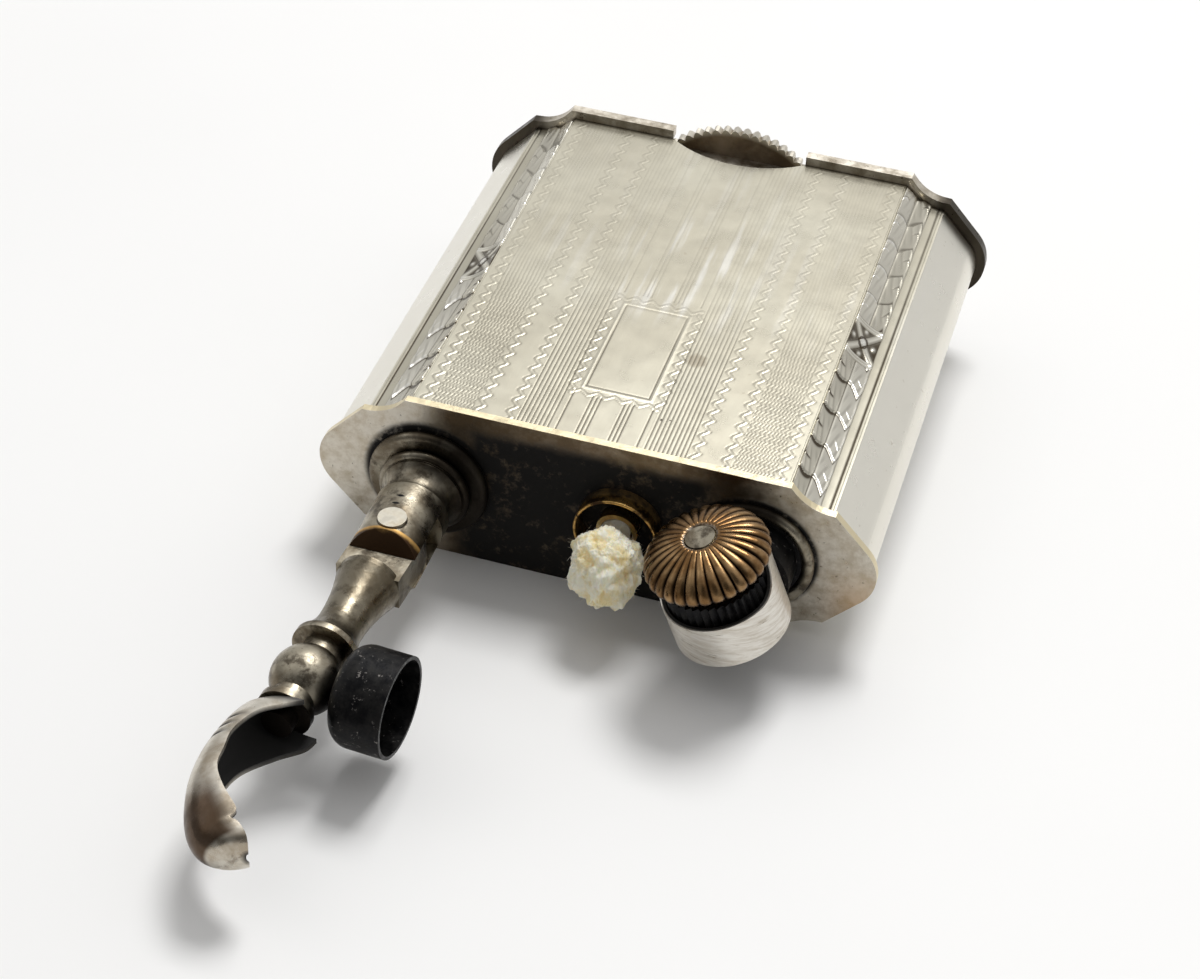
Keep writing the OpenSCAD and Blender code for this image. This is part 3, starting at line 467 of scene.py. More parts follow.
def finger_lift():
    """The hooded lever of the arm, with three file marks and a nick in its front edge."""
    angles = np.radians(np.linspace(-90, 90, 37))
    steps, last = 14, len(LIFT_ROWS) - 1
    rows = [lift_row(i, k / steps) for i in range(last) for k in range(steps)] + [LIFT_ROWS[last]]
    points, inner, tarnish_and_reflection = [], [], []
    for place, row in enumerate(rows):
        along = place / steps
        for wall, turns in ((0.0, angles), (LIFT_WALL, angles[::-1])):
            for a in turns:
                turn = math.degrees(a)
                share = (1 + math.sin(a)) / 2
                back = row[:2]
                edge = (1 - share) * row[4:6] + share * row[2:4]
                deep = np.linalg.norm(back - edge)
                reach = max(deep - wall, 0.02) / deep
                p = edge + (back - edge) * math.cos(a) * reach
                filed = max(ridge(row[0] - mark, MARK_W) for mark in FILE_MARKS)
                cut = ridge(turn - 48, 26) * filed * (wall == 0)
                nick = NICK_DEPTH * smoothstep(60, 88, turn) * ridge(row[2] - NICK_AT, NICK_W)
                p = p + (back - edge) / deep * nick
                half = row[6] - wall - MARK_DEPTH * cut
                points.append((p[1], half * math.sin(a), p[0]))
                # What is painted black: the inside and the root as painted shade, and the file marks
                root = smoothstep(-15, -60, turn) * smoothstep(5.5, 2.5, p[0])
                root = max(smoothstep(0.9, 0.1, p[0]), root)
                inner.append(1.0 if wall else max(min(1.0, 1.4 * cut), 0.9 * root))
                # Painted reflection: a dark band on the belly of the outer side, short of its front
                # edge
                belly = smoothstep(4.8, 6.4, along) * smoothstep(8.9, 8.5, along)
                tarnish_and_reflection.append(belly * smoothstep(90, 66, turn))
    arc = len(angles)
    cols = 2 * arc
    faces = grid_faces(len(rows), cols, wrap_cols=True)
    for e in (0, (len(rows) - 1) * cols):
        faces.extend((e + j, e + j + 1, e + cols - 2 - j, e + cols - 1 - j) for j in range(arc - 1))
    obj = piece("finger_lift_hood", points, faces, "arm", along_arm(LIFT_ROOT),
                sharp=45, replaces=["finger_lift"])
    store(obj, "inner", inner)
    store(obj, "tarnish_and_reflection", tarnish_and_reflection)
    return obj


# Soft pieces

def icosphere(steps):
    bm = bmesh.new()
    bmesh.ops.create_icosphere(bm, subdivisions=steps, radius=1)
    points = [v.co.copy() for v in bm.verts]
    faces = [[v.index for v in f.verts] for f in bm.faces]
    bm.free()
    return points, faces


TUFT_MIDDLE, TUFT_HALF = 3.75, (2.5, 2.45, 2.7)  # Height over the plate, and half sizes
TUFT_SNUG, TUFT_ROOM = 2.6, 3.05  # The closed snuffer's bore is 3.15: wider places are drawn in


def tuft_shape(n):
    """A point of the tuft's surface in the direction n, from the plate with +Z out of the top."""
    lump = noise.fractal(n * 1.3 + Vector((3.1, 0.4, 7.7)), 0.9, 2.0, 3) * 0.2
    folds = Vector((n.x * 5.5, n.y * 2.2, n.z * 5.5)) + Vector((1.7, 5.2, 0.3))
    torn = noise.fractal(folds, 0.7, 2.1, 4) * 0.07
    crumb = noise.fractal(n * 12.0, 0.8, 2.2, 3) * 0.012
    grow = 1 + lump + torn + crumb
    x, up, out = (part * half * grow for part, half in zip(n, TUFT_HALF))
    neck = smoothstep(-2.9, -0.9, out)
    x = x * (0.42 + 0.58 * neck) + 0.2 * neck
    up = up * (0.42 + 0.58 * neck) - 0.55 * neck - 0.12 * max(out, 0)
    away = math.hypot(x, up)
    if away > TUFT_SNUG:
        spare = TUFT_ROOM - TUFT_SNUG
        kept = (TUFT_SNUG + spare * math.tanh((away - TUFT_SNUG) / spare)) / away
        x, up = x * kept, up * kept
    return Vector((x, up, max(TUFT_MIDDLE + out, WICK_OUT + 0.02)))


THIRDS = (0, 2.094, 4.189)  # Of a full turn, for fibres of three sides


def wick_tuft():
    """The frayed end of the wick: a torn lump of cotton with short loose fibres."""
    fibres, knots = 420, 6
    rng = np.random.default_rng(7)
    directions, faces = icosphere(7)
    points = [tuft_shape(n) for n in directions]
    for _ in range(fibres):
        n = Vector(rng.normal(size=3)).normalized()
        root = tuft_shape(n)
        if root.z < 2.0:
            continue
        side = Vector(rng.normal(size=3)).normalized()
        heading = (n * 0.35 + side).normalized()
        length, thick = rng.uniform(0.3, 0.95), rng.uniform(0.008, 0.02)
        curl = Vector(rng.normal(size=3)) * 0.5
        first = len(points)
        for k in range(knots):
            t = k / (knots - 1)
            at = root + heading * (length * (t - 0.4)) + curl * (t * t * 0.3)
            away = math.hypot(at.x, at.y)
            if away > TUFT_ROOM:
                at.x, at.y = at.x * TUFT_ROOM / away, at.y * TUFT_ROOM / away
            other = n if abs(heading.dot(n)) < 0.95 else Vector((1, 0, 0))
            across = heading.cross(other).normalized()
            over = heading.cross(across)
            w = thick * (1 - 0.75 * t)
            points.extend(at + w * (math.cos(b) * across + math.sin(b) * over) for b in THIRDS)
        for k in range(knots - 1):
            a = first + 3 * k
            for j, following in ((0, 1), (1, 2), (2, 0)):
                faces.append([a + j, a + following, a + 3 + following, a + 3 + j])
        faces.append([first, first + 2, first + 1])
        end = first + 3 * (knots - 1)
        faces.append([end, end + 1, end + 2])
    obj = piece("frayed_wick", points, faces, "case", from_top(WICK_X),
                replaces=["wick_tuft"])
    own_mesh(obj)
    return obj


def wick_cord():
    """The wick inside its tube: three twisted strands."""
    steps, around, twist = 90, 36, 1.1
    low = -PLATE_TOP_T - WICK_IN
    points = []
    for i in range(steps + 1):
        h = low + (WICK_OUT - low) * i / steps
        for k in range(around):
            a = 2 * math.pi * k / around
            strand = abs(math.cos(1.5 * (a - h * twist)))
            r = (WICK_R - 0.02) * (0.86 + 0.14 * strand)
            points.append((r * math.cos(a), r * math.sin(a), h))
    faces = grid_faces(steps + 1, around, wrap_cols=True)
    faces.append(tuple(range(around))[::-1])
    faces.append(tuple(steps * around + k for k in range(around)))
    return piece("wick_strands", points, faces, "case", from_top(WICK_X), sharp=60,
                 replaces=["wick"])


def cotton_fill():
    """The cotton in the case: a lumpy skin just inside the CAD solid's own."""
    longest = 2 * MM
    mesh = frame["nodes"]["cotton_wadding"].data.copy()
    obj = bpy.data.objects.new("cotton_fill", mesh)
    bpy.context.scene.collection.objects.link(obj)
    bm = bmesh.new()
    bm.from_mesh(mesh)
    bmesh.ops.triangulate(bm, faces=bm.faces)
    edges = [e for e in bm.edges if e.calc_length() > longest]
    bmesh.ops.subdivide_edges(bm, edges=edges, cuts=3, use_grid_fill=True)
    bmesh.ops.recalc_face_normals(bm, faces=bm.faces)
    bm.normal_update()
    for v in bm.verts:
        v.co -= v.normal * (0.06 + 0.1 * abs(noise.noise(v.co / MM * 0.9))) * MM
    bm.to_mesh(mesh)
    bm.free()
    mesh.shade_smooth()
    mesh.set_sharp_from_angle(angle=math.radians(50))
    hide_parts("cotton_wadding")
    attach(obj, "case")
    return obj


def punch_dents():
    """Two short punch marks on the hinge post above the rivet: shallow dark pads on its round."""
    marks, span, steps, half_w = ((5.15, 96), (5.95, 97)), 12, 8, 0.11
    points, faces = [], []
    for out, turn in marks:
        first = len(points)
        for k in range(steps + 1):
            a = math.radians(turn - span / 2 + span * k / steps)
            width = half_w * math.sin(math.pi * (0.08 + 0.84 * k / steps))
            for j in (-1, 0, 1):
                r = POST_R + (0.012 if j == 0 else 0.004)
                points.append((r * math.cos(a), r * math.sin(a), out + j * width))
        starts = [first + 3 * k + j for k in range(steps) for j in range(2)]
        faces.extend((v, v + 1, v + 4, v + 3) for v in starts)
    return piece("punch_marks", points, faces, "case", from_top(POST_X))


# Materials

class Material:
    """A principled material and the nodes that feed it; x, y and z are the shaded place in MM."""

    def __init__(self, name, metallic=1.0):
        self.mat = bpy.data.materials.new(name)
        self.mat.use_nodes = True
        self.tree = self.mat.node_tree
        self.shader = self.tree.nodes["Principled BSDF"]
        self.shader.inputs["Metallic"].default_value = metallic
        self.place = self.tree.nodes.new("ShaderNodeTexCoord").outputs["Object"]
        xyz = self.tree.nodes.new("ShaderNodeSeparateXYZ")
        self.tree.links.new(self.place, xyz.inputs[0])
        self.x, self.y, self.z = (self.times(xyz.outputs[k], 1 / MM) for k in range(3))

    def feed(self, socket, value):
        """Links a socket to another, or gives it a value."""
        if isinstance(value, bpy.types.NodeSocket):
            self.tree.links.new(value, socket)
        elif isinstance(value, (tuple, list)) and len(socket.default_value) == 4:
            socket.default_value = tuple(value) + (1,)
        else:
            socket.default_value = value

    def calc(self, operation, a, b=0.0):
        node = self.tree.nodes.new("ShaderNodeMath")
        node.operation = operation
        self.feed(node.inputs[0], a)
        self.feed(node.inputs[1], b)
        return node.outputs[0]

    def times(self, value, *factors):
        for factor in factors:
            value = self.calc("MULTIPLY", value, factor)
        return value

    def plus(self, a, b):
        return self.calc("ADD", a, b)

    def less(self, a, b):
        return self.calc("SUBTRACT", a, b)

    def most(self, a, b):
        return self.calc("MAXIMUM", a, b)

    def squares(self, *pairs):
        """Sum of the squares of how far each coordinate is from its value."""
        total = None
        for part, at in pairs:
            square = self.calc("POWER", self.less(part, at), 2)
            total = square if total is None else self.plus(total, square)
        return total

    def distance(self, *pairs):
        return self.calc("SQRT", self.squares(*pairs))

    def ramp(self, value, lo, hi, to_lo=0.0, to_hi=1.0):
        """Goes softly from to_lo, where the value is lo, to to_hi, where it is hi."""
        node = self.tree.nodes.new("ShaderNodeMapRange")
        node.interpolation_type = "SMOOTHSTEP"
        self.feed(node.inputs[0], value)
        for k, v in enumerate((lo, hi, to_lo, to_hi), 1):
            node.inputs[k].default_value = v
        return node.outputs[0]

    def noise(self, per_mm, detail=3.0, rough=0.55, stretch=(1, 1, 1), distortion=0.0):
        scaled = self.tree.nodes.new("ShaderNodeMapping")
        scaled.inputs["Scale"].default_value = tuple(per_mm / MM * s for s in stretch)
        self.tree.links.new(self.place, scaled.inputs[0])
        node = self.tree.nodes.new("ShaderNodeTexNoise")
        node.inputs["Scale"].default_value = 1.0
        node.inputs["Detail"].default_value = detail
        node.inputs["Roughness"].default_value = rough
        node.inputs["Distortion"].default_value = distortion
        self.tree.links.new(scaled.outputs[0], node.inputs["Vector"])
        return node.outputs[0]

    def wander(self, per_mm, reach):
        """A noise round 0 that makes the edge of a stain ragged."""
        return self.times(self.less(self.noise(per_mm, 4), 0.5), reach)

    def mix(self, share, a, b):
        node = self.tree.nodes.new("ShaderNodeMix")
        node.data_type = "RGBA"
        self.feed(node.inputs[0], share)
        self.feed(node.inputs[6], a)
        self.feed(node.inputs[7], b)
        return node.outputs[2]

    def read(self, name):
        """What store() gave the vertices."""
        node = self.tree.nodes.new("ShaderNodeAttribute")
        node.attribute_name = name
        return node.outputs["Fac"]

    def near(self, x, z, radius, soft):
        """1 within a radius of a place on the top plate, 0 outside it."""
        return self.ramp(self.distance((self.x, x), (self.z, z)), radius, radius + soft, 1, 0)

    def spot(self, x, y, radius, soft, ragged=0.5):
        """1 within a radius of a place on the front, 0 outside it; a soft below 0 turns it over."""
        d = self.distance((self.x, x), (self.y, y))
        if ragged:
            d = self.plus(d, self.wander(2.0, ragged))
        return self.ramp(d, radius, radius + soft, 1, 0)

    def metallic(self, value):
        self.feed(self.shader.inputs["Metallic"], value)

    def set(self, colour, roughness, bump=None, height=0.02):
        """Feeds the shader; bump is a height between 0 and 1, height its depth in MM."""
        self.feed(self.shader.inputs["Base Color"], colour)
        self.feed(self.shader.inputs["Roughness"], roughness)
        if bump is not None:
            node = self.tree.nodes.new("ShaderNodeBump")
            node.inputs["Strength"].default_value = 1.0
            node.inputs["Distance"].default_value = height * MM
            self.feed(node.inputs["Height"], bump)
            self.tree.links.new(node.outputs[0], self.shader.inputs["Normal"])
        return self.mat


def dress(material, *names):
    for name in names:
        obj = frame["nodes"].get(name) or bpy.data.objects[name]
        obj.data.materials.clear()
        obj.data.materials.append(material)
        for polygon in obj.data.polygons:
            polygon.material_index = 0


def engraved_nickel():
    """The case: warm satin nickel, paler at its sides as painted sheen, dark in the engraving as
    tarnished grooves and painted shade, and painted dark at the plates as shade.
    """
    m = Material("engraved_nickel")
    colour = m.mix(m.ramp(m.noise(0.11, 4), 0.3, 0.75), (0.6, 0.56, 0.45), (0.68, 0.645, 0.53))
    # Painted sheen: the sides beyond the strips are painted paler
    side = m.ramp(m.calc("ABSOLUTE", m.x), STRIP_W / 2 - 0.1, STRIP_W / 2 + 0.1)
    colour = m.mix(m.times(side, 0.75), colour, (0.88, 0.855, 0.78))
    # Bright worn streaks along the middle of the worn half
    streak = m.times(m.ramp(m.noise(1.0, 3, stretch=(1, 0.09, 1)), 0.5, 0.66),
                     m.ramp(m.y, -6, -1), m.ramp(m.y, 12, 3, 0.25, 1),
                     m.ramp(m.calc("ABSOLUTE", m.less(m.x, 0.6)), 6, 2.5, 0.3, 1))
    colour = m.mix(m.times(streak, 0.8), colour, (0.82, 0.8, 0.74))
    spots = m.ramp(m.noise(1.6, 2), 0.7, 0.77, 0, 0.25)
    colour = m.mix(spots, colour, (0.36, 0.29, 0.2))
    # Painted highlights on the panels' beads and the leaves; then the engraving darkened, as
    # tarnished grooves on the panels and painted shade on the leaves
    colour = m.mix(m.read("bright"), colour, (0.86, 0.84, 0.78))
    colour = m.mix(m.read("tarnish_and_shade"), colour, (0.075, 0.058, 0.038))
    # Painted shade: a dark band on the case where it meets each end plate
    top_seam, base_seam = TOP_Y + PLATE_TOP_T, BASE_Y - BASE_T
    seam_shade = m.most(m.ramp(m.y, top_seam, top_seam + 0.3, 1, 0),
                  m.ramp(m.y, base_seam - 0.35, base_seam))
    colour = m.mix(m.times(seam_shade, 0.8), colour, (0.07, 0.05, 0.03))
    # A stain beside the cartouche and two crumbs of dirt below it
    front = m.ramp(m.z, *FRONT_Z)
    stain = m.spot(3.9, -7.9, 0.5, 0.45)
    colour = m.mix(m.times(stain, front, 0.4), colour, (0.16, 0.11, 0.06))
    dirt = m.most(m.spot(3.35, -14.95, 0.02, 0.1), m.spot(3.95, -14.8, 0.02, 0.1))
    colour = m.mix(m.times(dirt, front, 0.9), colour, (0.05, 0.04, 0.03))
    rough = m.ramp(m.noise(0.5, 4), 0.3, 0.7, 0.27, 0.31)
    return m.set(colour, rough, m.noise(3.0, 3, stretch=(1, 0.12, 1)), 0.004)


def plate_nickel():
    """The end plates: the top one brown, and sooty black with painted shade; the base one painted
    dark at its tips as shade.
    """
    m = Material("plate_nickel")
    grain = m.noise(0.9, 5, 0.65)
    base = m.mix(m.ramp(grain, 0.3, 0.7), (0.44, 0.38, 0.29), (0.7, 0.655, 0.57))
    top = m.ramp(m.y, 0, -10)
    wander = m.wander(0.45, 4.0)
    x, z = m.plus(m.x, wander), m.plus(m.z, m.times(wander, 0.35))
    brown = m.times(m.ramp(x, -12.5, -9.5), m.ramp(x, 13, 9.5),
                    m.ramp(grain, 0.25, 0.6, 0.8, 1), top)
    colour = m.mix(brown, base, (0.14, 0.1, 0.06))
    tan = m.times(m.ramp(m.x, 15.5, 19), m.ramp(m.z, MID_Z + 1.5, MID_Z - 3), top)
    colour = m.mix(m.times(tan, 0.7), colour, (0.6, 0.4, 0.22))
    # Sooty black with painted shade between hinge and striker and in a ring round each, flaked off
    # in places
    black = m.times(m.ramp(x, -11, -8.2), m.ramp(x, 10.5, 7), m.ramp(z, MID_Z + 5.9, MID_Z + 4.6))
    rings = m.most(m.near(POST_X, MID_Z, 4.5, 0.6), m.near(STRIKER_X, MID_Z, 4.55, 0.4))
    black = m.most(black, rings)
    flakes = m.ramp(m.noise(0.7, 6, 0.75), 0.52, 0.68, 1, 0.55)
    face = m.ramp(m.y, TOP_Y + 0.02, TOP_Y + 0.06, 1, 0)
    soot_and_shade = m.times(black, flakes, face)
    colour = m.mix(soot_and_shade, colour, (0.009, 0.008, 0.007))
    pits = m.times(m.ramp(m.noise(1.7, 5, 0.7), 0.62, 0.7, 0, 0.8), m.less(1, black))
    colour = m.mix(pits, colour, (0.1, 0.075, 0.05))
    rim = m.times(m.less(1, face), top)
    colour = m.mix(rim, colour, (0.72, 0.63, 0.43))
    # Painted shade: the base plate's tips beside the case, which face away from the light, are
    # painted dark
    tips = m.times(m.ramp(m.y, 15, 17), m.ramp(m.calc("ABSOLUTE", m.x), 14.8, 16.6))
    colour = m.mix(m.times(tips, 0.97), colour, (0.045, 0.037, 0.027))
    rough = m.most(m.ramp(grain, 0.3, 0.7, 0.27, 0.48), m.times(soot_and_shade, 0.75))
    m.metallic(m.less(1, m.times(soot_and_shade, 0.9)))
    m.shader.inputs["Specular IOR Level"].default_value = 0.25
    return m.set(colour, rough, m.noise(1.1, 5, 0.7), 0.03)


def turned_nickel():
    """Hinge, arm and collars: tarnished nickel, sooty on what stands near the flame, with painted
    shade and a painted reflection.
    """
    m = Material("turned_nickel")
    out = m.less(TOP_Y, m.y)
    tarnish_and_reflection = m.ramp(m.noise(0.42, 5, 0.6, distortion=0.4), 0.38, 0.64)
    colour = m.mix(tarnish_and_reflection, (0.4, 0.36, 0.28), (0.17, 0.138, 0.095))
    dark = m.ramp(m.noise(0.8, 5, 0.7), 0.49, 0.66, 0, 0.85)
    colour = m.mix(dark, colour, (0.07, 0.056, 0.04))
    speck = m.ramp(m.noise(4.5, 2), 0.66, 0.72, 0, 0.6)
    colour = m.mix(speck, colour, (0.14, 0.11, 0.07))
    stem = m.times(m.ramp(out, 10.8, 11.6), m.ramp(out, 18.2, 17.8))
    colour = m.mix(m.times(stem, 0.6), colour, (0.11, 0.092, 0.062))
    # Soot on the collars and on the post's foot, heaviest towards the wick
    wander = m.wander(0.6, 3.0)
    low = m.ramp(m.less(out, wander), 4.2, 1.6)
    side = m.ramp(m.plus(m.x, wander), POST_X - 2.2, POST_X + 2.2, 0.25, 0.95)
    far = m.ramp(m.x, 12.5, 14.5, 1, 0.15)
    soot_and_shade = m.times(low, side, far)
    # Painted shade: black in the finger lift's root, and on the knuckle's side towards the snuffer,
    # where the cap and the arm shade them
    soot_and_shade = m.most(soot_and_shade, m.ramp(out, 24.1, 24.25))
    knuckle_shade = m.less(m.less(m.x, POST_X - 1.1), m.times(m.less(m.z, MID_Z), 0.9))
    knuckle_shade = m.ramp(m.plus(knuckle_shade, m.times(wander, 0.4)), 0.4, 1.9)
    soot_and_shade = m.most(soot_and_shade, m.times(knuckle_shade, m.ramp(out, 18.2, 19.4)))
    colour = m.mix(soot_and_shade, colour, (0.014, 0.011, 0.009))
    # Painted reflection: the flat at the end of the near ear is painted brassy, and dark farther out
    ear = m.times(m.ramp(out, 8.35, 8.45), m.ramp(out, 9.6, 9.5),
                  m.ramp(m.z, MID_Z + 1.2, MID_Z + 1.26))
    shade = m.ramp(m.less(out, m.times(m.noise(1.2, 4), 0.5)), 8.2, 8.6)
    colour = m.mix(ear, colour, m.mix(shade, (0.6, 0.37, 0.13), (0.06, 0.034, 0.018)))
    # A dark ring round the rivet
    rivet = (POST_X, TOP_Y - PIVOT_OUT)
    ring = m.times(m.spot(*rivet, RIVET_R, 0.1, 0.0), m.ramp(m.z, *FRONT_Z),
                   m.spot(*rivet, RIVET_R - 0.14, -0.1, 0.0))
    colour = m.mix(ring, colour, (0.03, 0.024, 0.018))
    rough = m.ramp(m.noise(0.7, 4), 0.3, 0.7, 0.24, 0.44)
    rough = m.most(rough, m.times(m.most(soot_and_shade, ear), 0.55))
    return m.set(colour, rough, m.noise(2.0, 5, 0.65), 0.022)


def satin_nickel():
    """The wheel's housing: finely scratched outside, painted black as shade inside its bore."""
    m = Material("satin_nickel")
    scratch = m.noise(1.1, 4, 0.7, stretch=(0.5, 0.5, 4))
    colour = m.mix(m.ramp(scratch, 0.35, 0.7), (0.78, 0.75, 0.69), (0.62, 0.57, 0.49))
    marks = m.ramp(m.noise(0.9, 5, 0.75, stretch=(0.4, 0.4, 3)), 0.57, 0.68, 0, 0.75)
    colour = m.mix(marks, colour, (0.24, 0.18, 0.11))
    # How far the place is from the wheel's axle
    axle = at_wheel()
    middle, up = axle.translation, axle.to_3x3() @ Vector((0, 0, 1))
    dot = m.plus(m.plus(m.times(m.x, up.x), m.times(m.y, up.y)), m.times(m.z, up.z))
    along = m.less(dot, middle.dot(up))
    square = m.squares(*zip((m.x, m.y, m.z), middle))
    away = m.calc("SQRT", m.less(square, m.calc("POWER", along, 2)))
    # Painted shade: the inside of the bore is painted near black
    inside = m.ramp(away, HOUSING_BORE - 0.05, HOUSING_BORE + 0.07, 1, 0)
    colour = m.mix(inside, colour, (0.02, 0.018, 0.016))
    m.metallic(m.ramp(inside, 0, 1, 1, 0.3))
    rough = m.most(m.ramp(scratch, 0.3, 0.7, 0.34, 0.5), m.times(inside, 0.8))
    return m.set(colour, rough, scratch, 0.02)


def black_steel(name="black_steel", worn_to=(0.3, 0.28, 0.26)):
    """Blackened steel with pale specks where it is worn."""
    m = Material(name, 0.6)
    grain = m.noise(1.2, 5, 0.7)
    colour = m.mix(m.ramp(grain, 0.35, 0.7), (0.006, 0.006, 0.007), (0.022, 0.021, 0.02))
    worn = m.ramp(m.noise(1.9, 4, 0.75), 0.61, 0.68, 0, 0.7)
    colour = m.mix(worn, colour, worn_to)
    m.shader.inputs["Specular IOR Level"].default_value = 0.2
    return m.set(colour, m.ramp(grain, 0.3, 0.7, 0.3, 0.55), m.noise(1.7, 5, 0.7), 0.03)


def sooted_brass():
    """The wind guard: browned outside, black inside and at its foot."""
    m = Material("sooted_brass")
    stain = m.noise(0.8, 5, 0.65)
    colour = m.mix(m.ramp(stain, 0.42, 0.6), (0.66, 0.4, 0.13), (0.06, 0.035, 0.018))
    inside = m.near(WICK_X, MID_Z, 2.72, 0.08)
    low = m.ramp(m.y, TOP_Y - 0.9, TOP_Y - 0.55)
    black = m.most(inside, m.times(low, 0.8))
    colour = m.mix(black, colour, (0.015, 0.012, 0.01))
    m.metallic(m.ramp(black, 0, 1, 1, 0.4))
    return m.set(colour, m.ramp(stain, 0.3, 0.7, 0.25, 0.45), m.noise(2.0, 4), 0.02)


def brown_nickel():
    """The filler disc: brown, with a pale knurled rim."""
    m = Material("brown_nickel")
    stain = m.noise(0.5, 5, 0.6)
    colour = m.mix(m.ramp(stain, 0.35, 0.7), (0.15, 0.115, 0.085), (0.3, 0.245, 0.19))
    away = m.distance((m.x, 0), (m.z, MID_Z))
    colour = m.mix(m.ramp(away, FILLER_R - 0.65, FILLER_R - 0.15), colour, (0.62, 0.58, 0.5))
    return m.set(colour, m.ramp(stain, 0.3, 0.7, 0.28, 0.5), m.noise(1.6, 4), 0.02)


def brown_brass():
    """The dome: bright ridges, dark valleys, and a silvery middle round the axle's head."""
    m = Material("brown_brass")
    stain = m.noise(0.55, 5, 0.65)
    bright = m.mix(m.ramp(stain, 0.35, 0.65), (0.37, 0.235, 0.115), (0.17, 0.09, 0.035))
    colour = m.mix(m.ramp(m.read("cavity"), 0.06, 0.5), bright, (0.03, 0.016, 0.008))
    middle = m.ramp(m.read("radius"), 1.0, RECESS_R, 1, 0)
    silver = m.mix(m.ramp(m.noise(2.2, 4), 0.4, 0.65), (0.72, 0.68, 0.6), (0.2, 0.15, 0.1))
    colour = m.mix(middle, colour, silver)
    rough = m.ramp(m.noise(0.9, 4), 0.3, 0.7, 0.2, 0.38)
    return m.set(colour, rough, m.noise(2.6, 4), 0.012)


def hood_nickel():
    """The finger lift: polished by the thumb, brown on its belly as painted reflection, black inside
    as painted shade.
    """
    m = Material("hood_nickel")
    stain = m.noise(0.33, 5, 0.6, distortion=0.3)
    colour = m.mix(m.ramp(stain, 0.4, 0.62), (0.66, 0.62, 0.54), (0.4, 0.34, 0.26))
    dark = m.ramp(m.noise(0.8, 4, 0.65), 0.62, 0.75, 0, 0.6)
    colour = m.mix(dark, colour, (0.12, 0.09, 0.06))
    # Painted reflection: the belly's dark brown
    brown = m.mix(stain, (0.09, 0.045, 0.02), (0.045, 0.03, 0.02))
    colour = m.mix(m.times(m.read("tarnish_and_reflection"), 0.93), colour, brown)
    # Painted shade: black inside the hood and in its root, and black file marks
    inner = m.read("inner")
    colour = m.mix(inner, colour, (0.01, 0.009, 0.008))
    m.metallic(m.ramp(inner, 0, 1, 1, 0.2))
    rough = m.most(m.ramp(m.noise(0.7, 4), 0.3, 0.7, 0.2, 0.4), m.times(inner, 0.7))
    return m.set(colour, rough, m.noise(2.0, 4), 0.012)


def cotton(name, light, shade):
    m = Material(name, 0.0)
    patch = m.noise(0.6, 5, 0.7)
    colour = m.mix(m.ramp(patch, 0.4, 0.64), light, shade)
    m.shader.inputs["Subsurface Weight"].default_value = 0.7
    m.shader.inputs["Subsurface Radius"].default_value = (1.0, 0.85, 0.6)
    m.shader.inputs["Subsurface Scale"].default_value = 1.4 * MM
    fibres = m.plus(m.noise(4.0, 4, 0.7, stretch=(1, 0.3, 1)),
                    m.noise(2.0, 5, 0.7, stretch=(0.35, 1, 1)))
    return m.set(colour, m.ramp(patch, 0.3, 0.7, 0.6, 0.85), fibres, 0.05)


def stained(name, metallic, grain, tones, colours, gloss, bump, depth):
    """A plain material whose colour and gloss follow one stain.

    grain and bump are a noise's size and detail, tones the stain's range of colour, gloss the
    roughness range, depth the bump's height in MM.
    """
    m = Material(name, metallic)
    stain = m.noise(*grain)
    share = m.ramp(stain, *tones) if tones else stain
    return m.set(m.mix(share, *colours), m.ramp(stain, 0.3, 0.7, *gloss), m.noise(*bump), depth)


# The parts and their materials

engraved = []
for end, is_front in (("front", True), ("back", False)):
    panel = panel_piece("engraved_panel_" + end, is_front)
    cut_notch(panel)
    engraved.append(panel.name)
    for hand, sign in (("left", -1), ("right", 1)):
        engraved.append(strip_piece("laurel_strip_%s_%s" % (end, hand), sign, is_front).name)
thumb_dome()
finger_lift()
wick_tuft()
wick_cord()
cotton_fill()
punch_dents()

dress(engraved_nickel(), "case_shell", *engraved)
dress(plate_nickel(), "top_plate", "base_plate")
dress(turned_nickel(), "hinge_collar", "hinge_post", "arm_stem", "arm_knuckle", "striker_collar",
      "wheel_axle", "finger_lift")
dress(hood_nickel(), "finger_lift_hood")
dress(satin_nickel(), "wheel_housing")
dress(stained("pale_nickel", 1.0, (1.1, 4), (0.4, 0.7), ((0.6, 0.565, 0.48), (0.42, 0.37, 0.28)),
              (0.28, 0.42), (2.5, 4), 0.01), "hinge_rivet")
dress(black_steel(), "snuffer_stud", "snuffer_cap", "striker_boss")
# The flint wheel is painted near black as shade in its gap under the dome; the punch marks share
# this dark steel
dress(black_steel("darkened_steel", (0.03, 0.028, 0.026)), "flint_wheel", "punch_marks")
dress(stained("brass", 1.0, (0.7, 4), (0.35, 0.7), ((0.74, 0.57, 0.28), (0.42, 0.28, 0.11)),
              (0.22, 0.42), (2.5, 3), 0.01),
      "filler_bush", "wick_tube", "flint_tube", "flint_follower", "flint_screw")
dress(sooted_brass(), "wick_guard")
dress(brown_nickel(), "filler_screw")
dress(brown_brass(), "thumb_dome_fluted", "thumb_dome")
dress(stained("spring_steel", 1.0, (1.2, 3), (0.35, 0.7), ((0.5, 0.5, 0.52), (0.3, 0.29, 0.28)),
              (0.25, 0.45), (3.0, 3), 0.01), "arm_plunger", "plunger_spring", "flint_spring")
dress(stained("flint", 0.5, (1.5, 4), None, ((0.16, 0.15, 0.145), (0.34, 0.32, 0.3)),
              (0.5, 0.75), (3.0, 4), 0.03), "flint")
dress(stained("leather", 0.0, (0.8, 4), None, ((0.25, 0.14, 0.07), (0.42, 0.27, 0.15)),
              (0.5, 0.75), (3.5, 4), 0.05), "filler_washer")
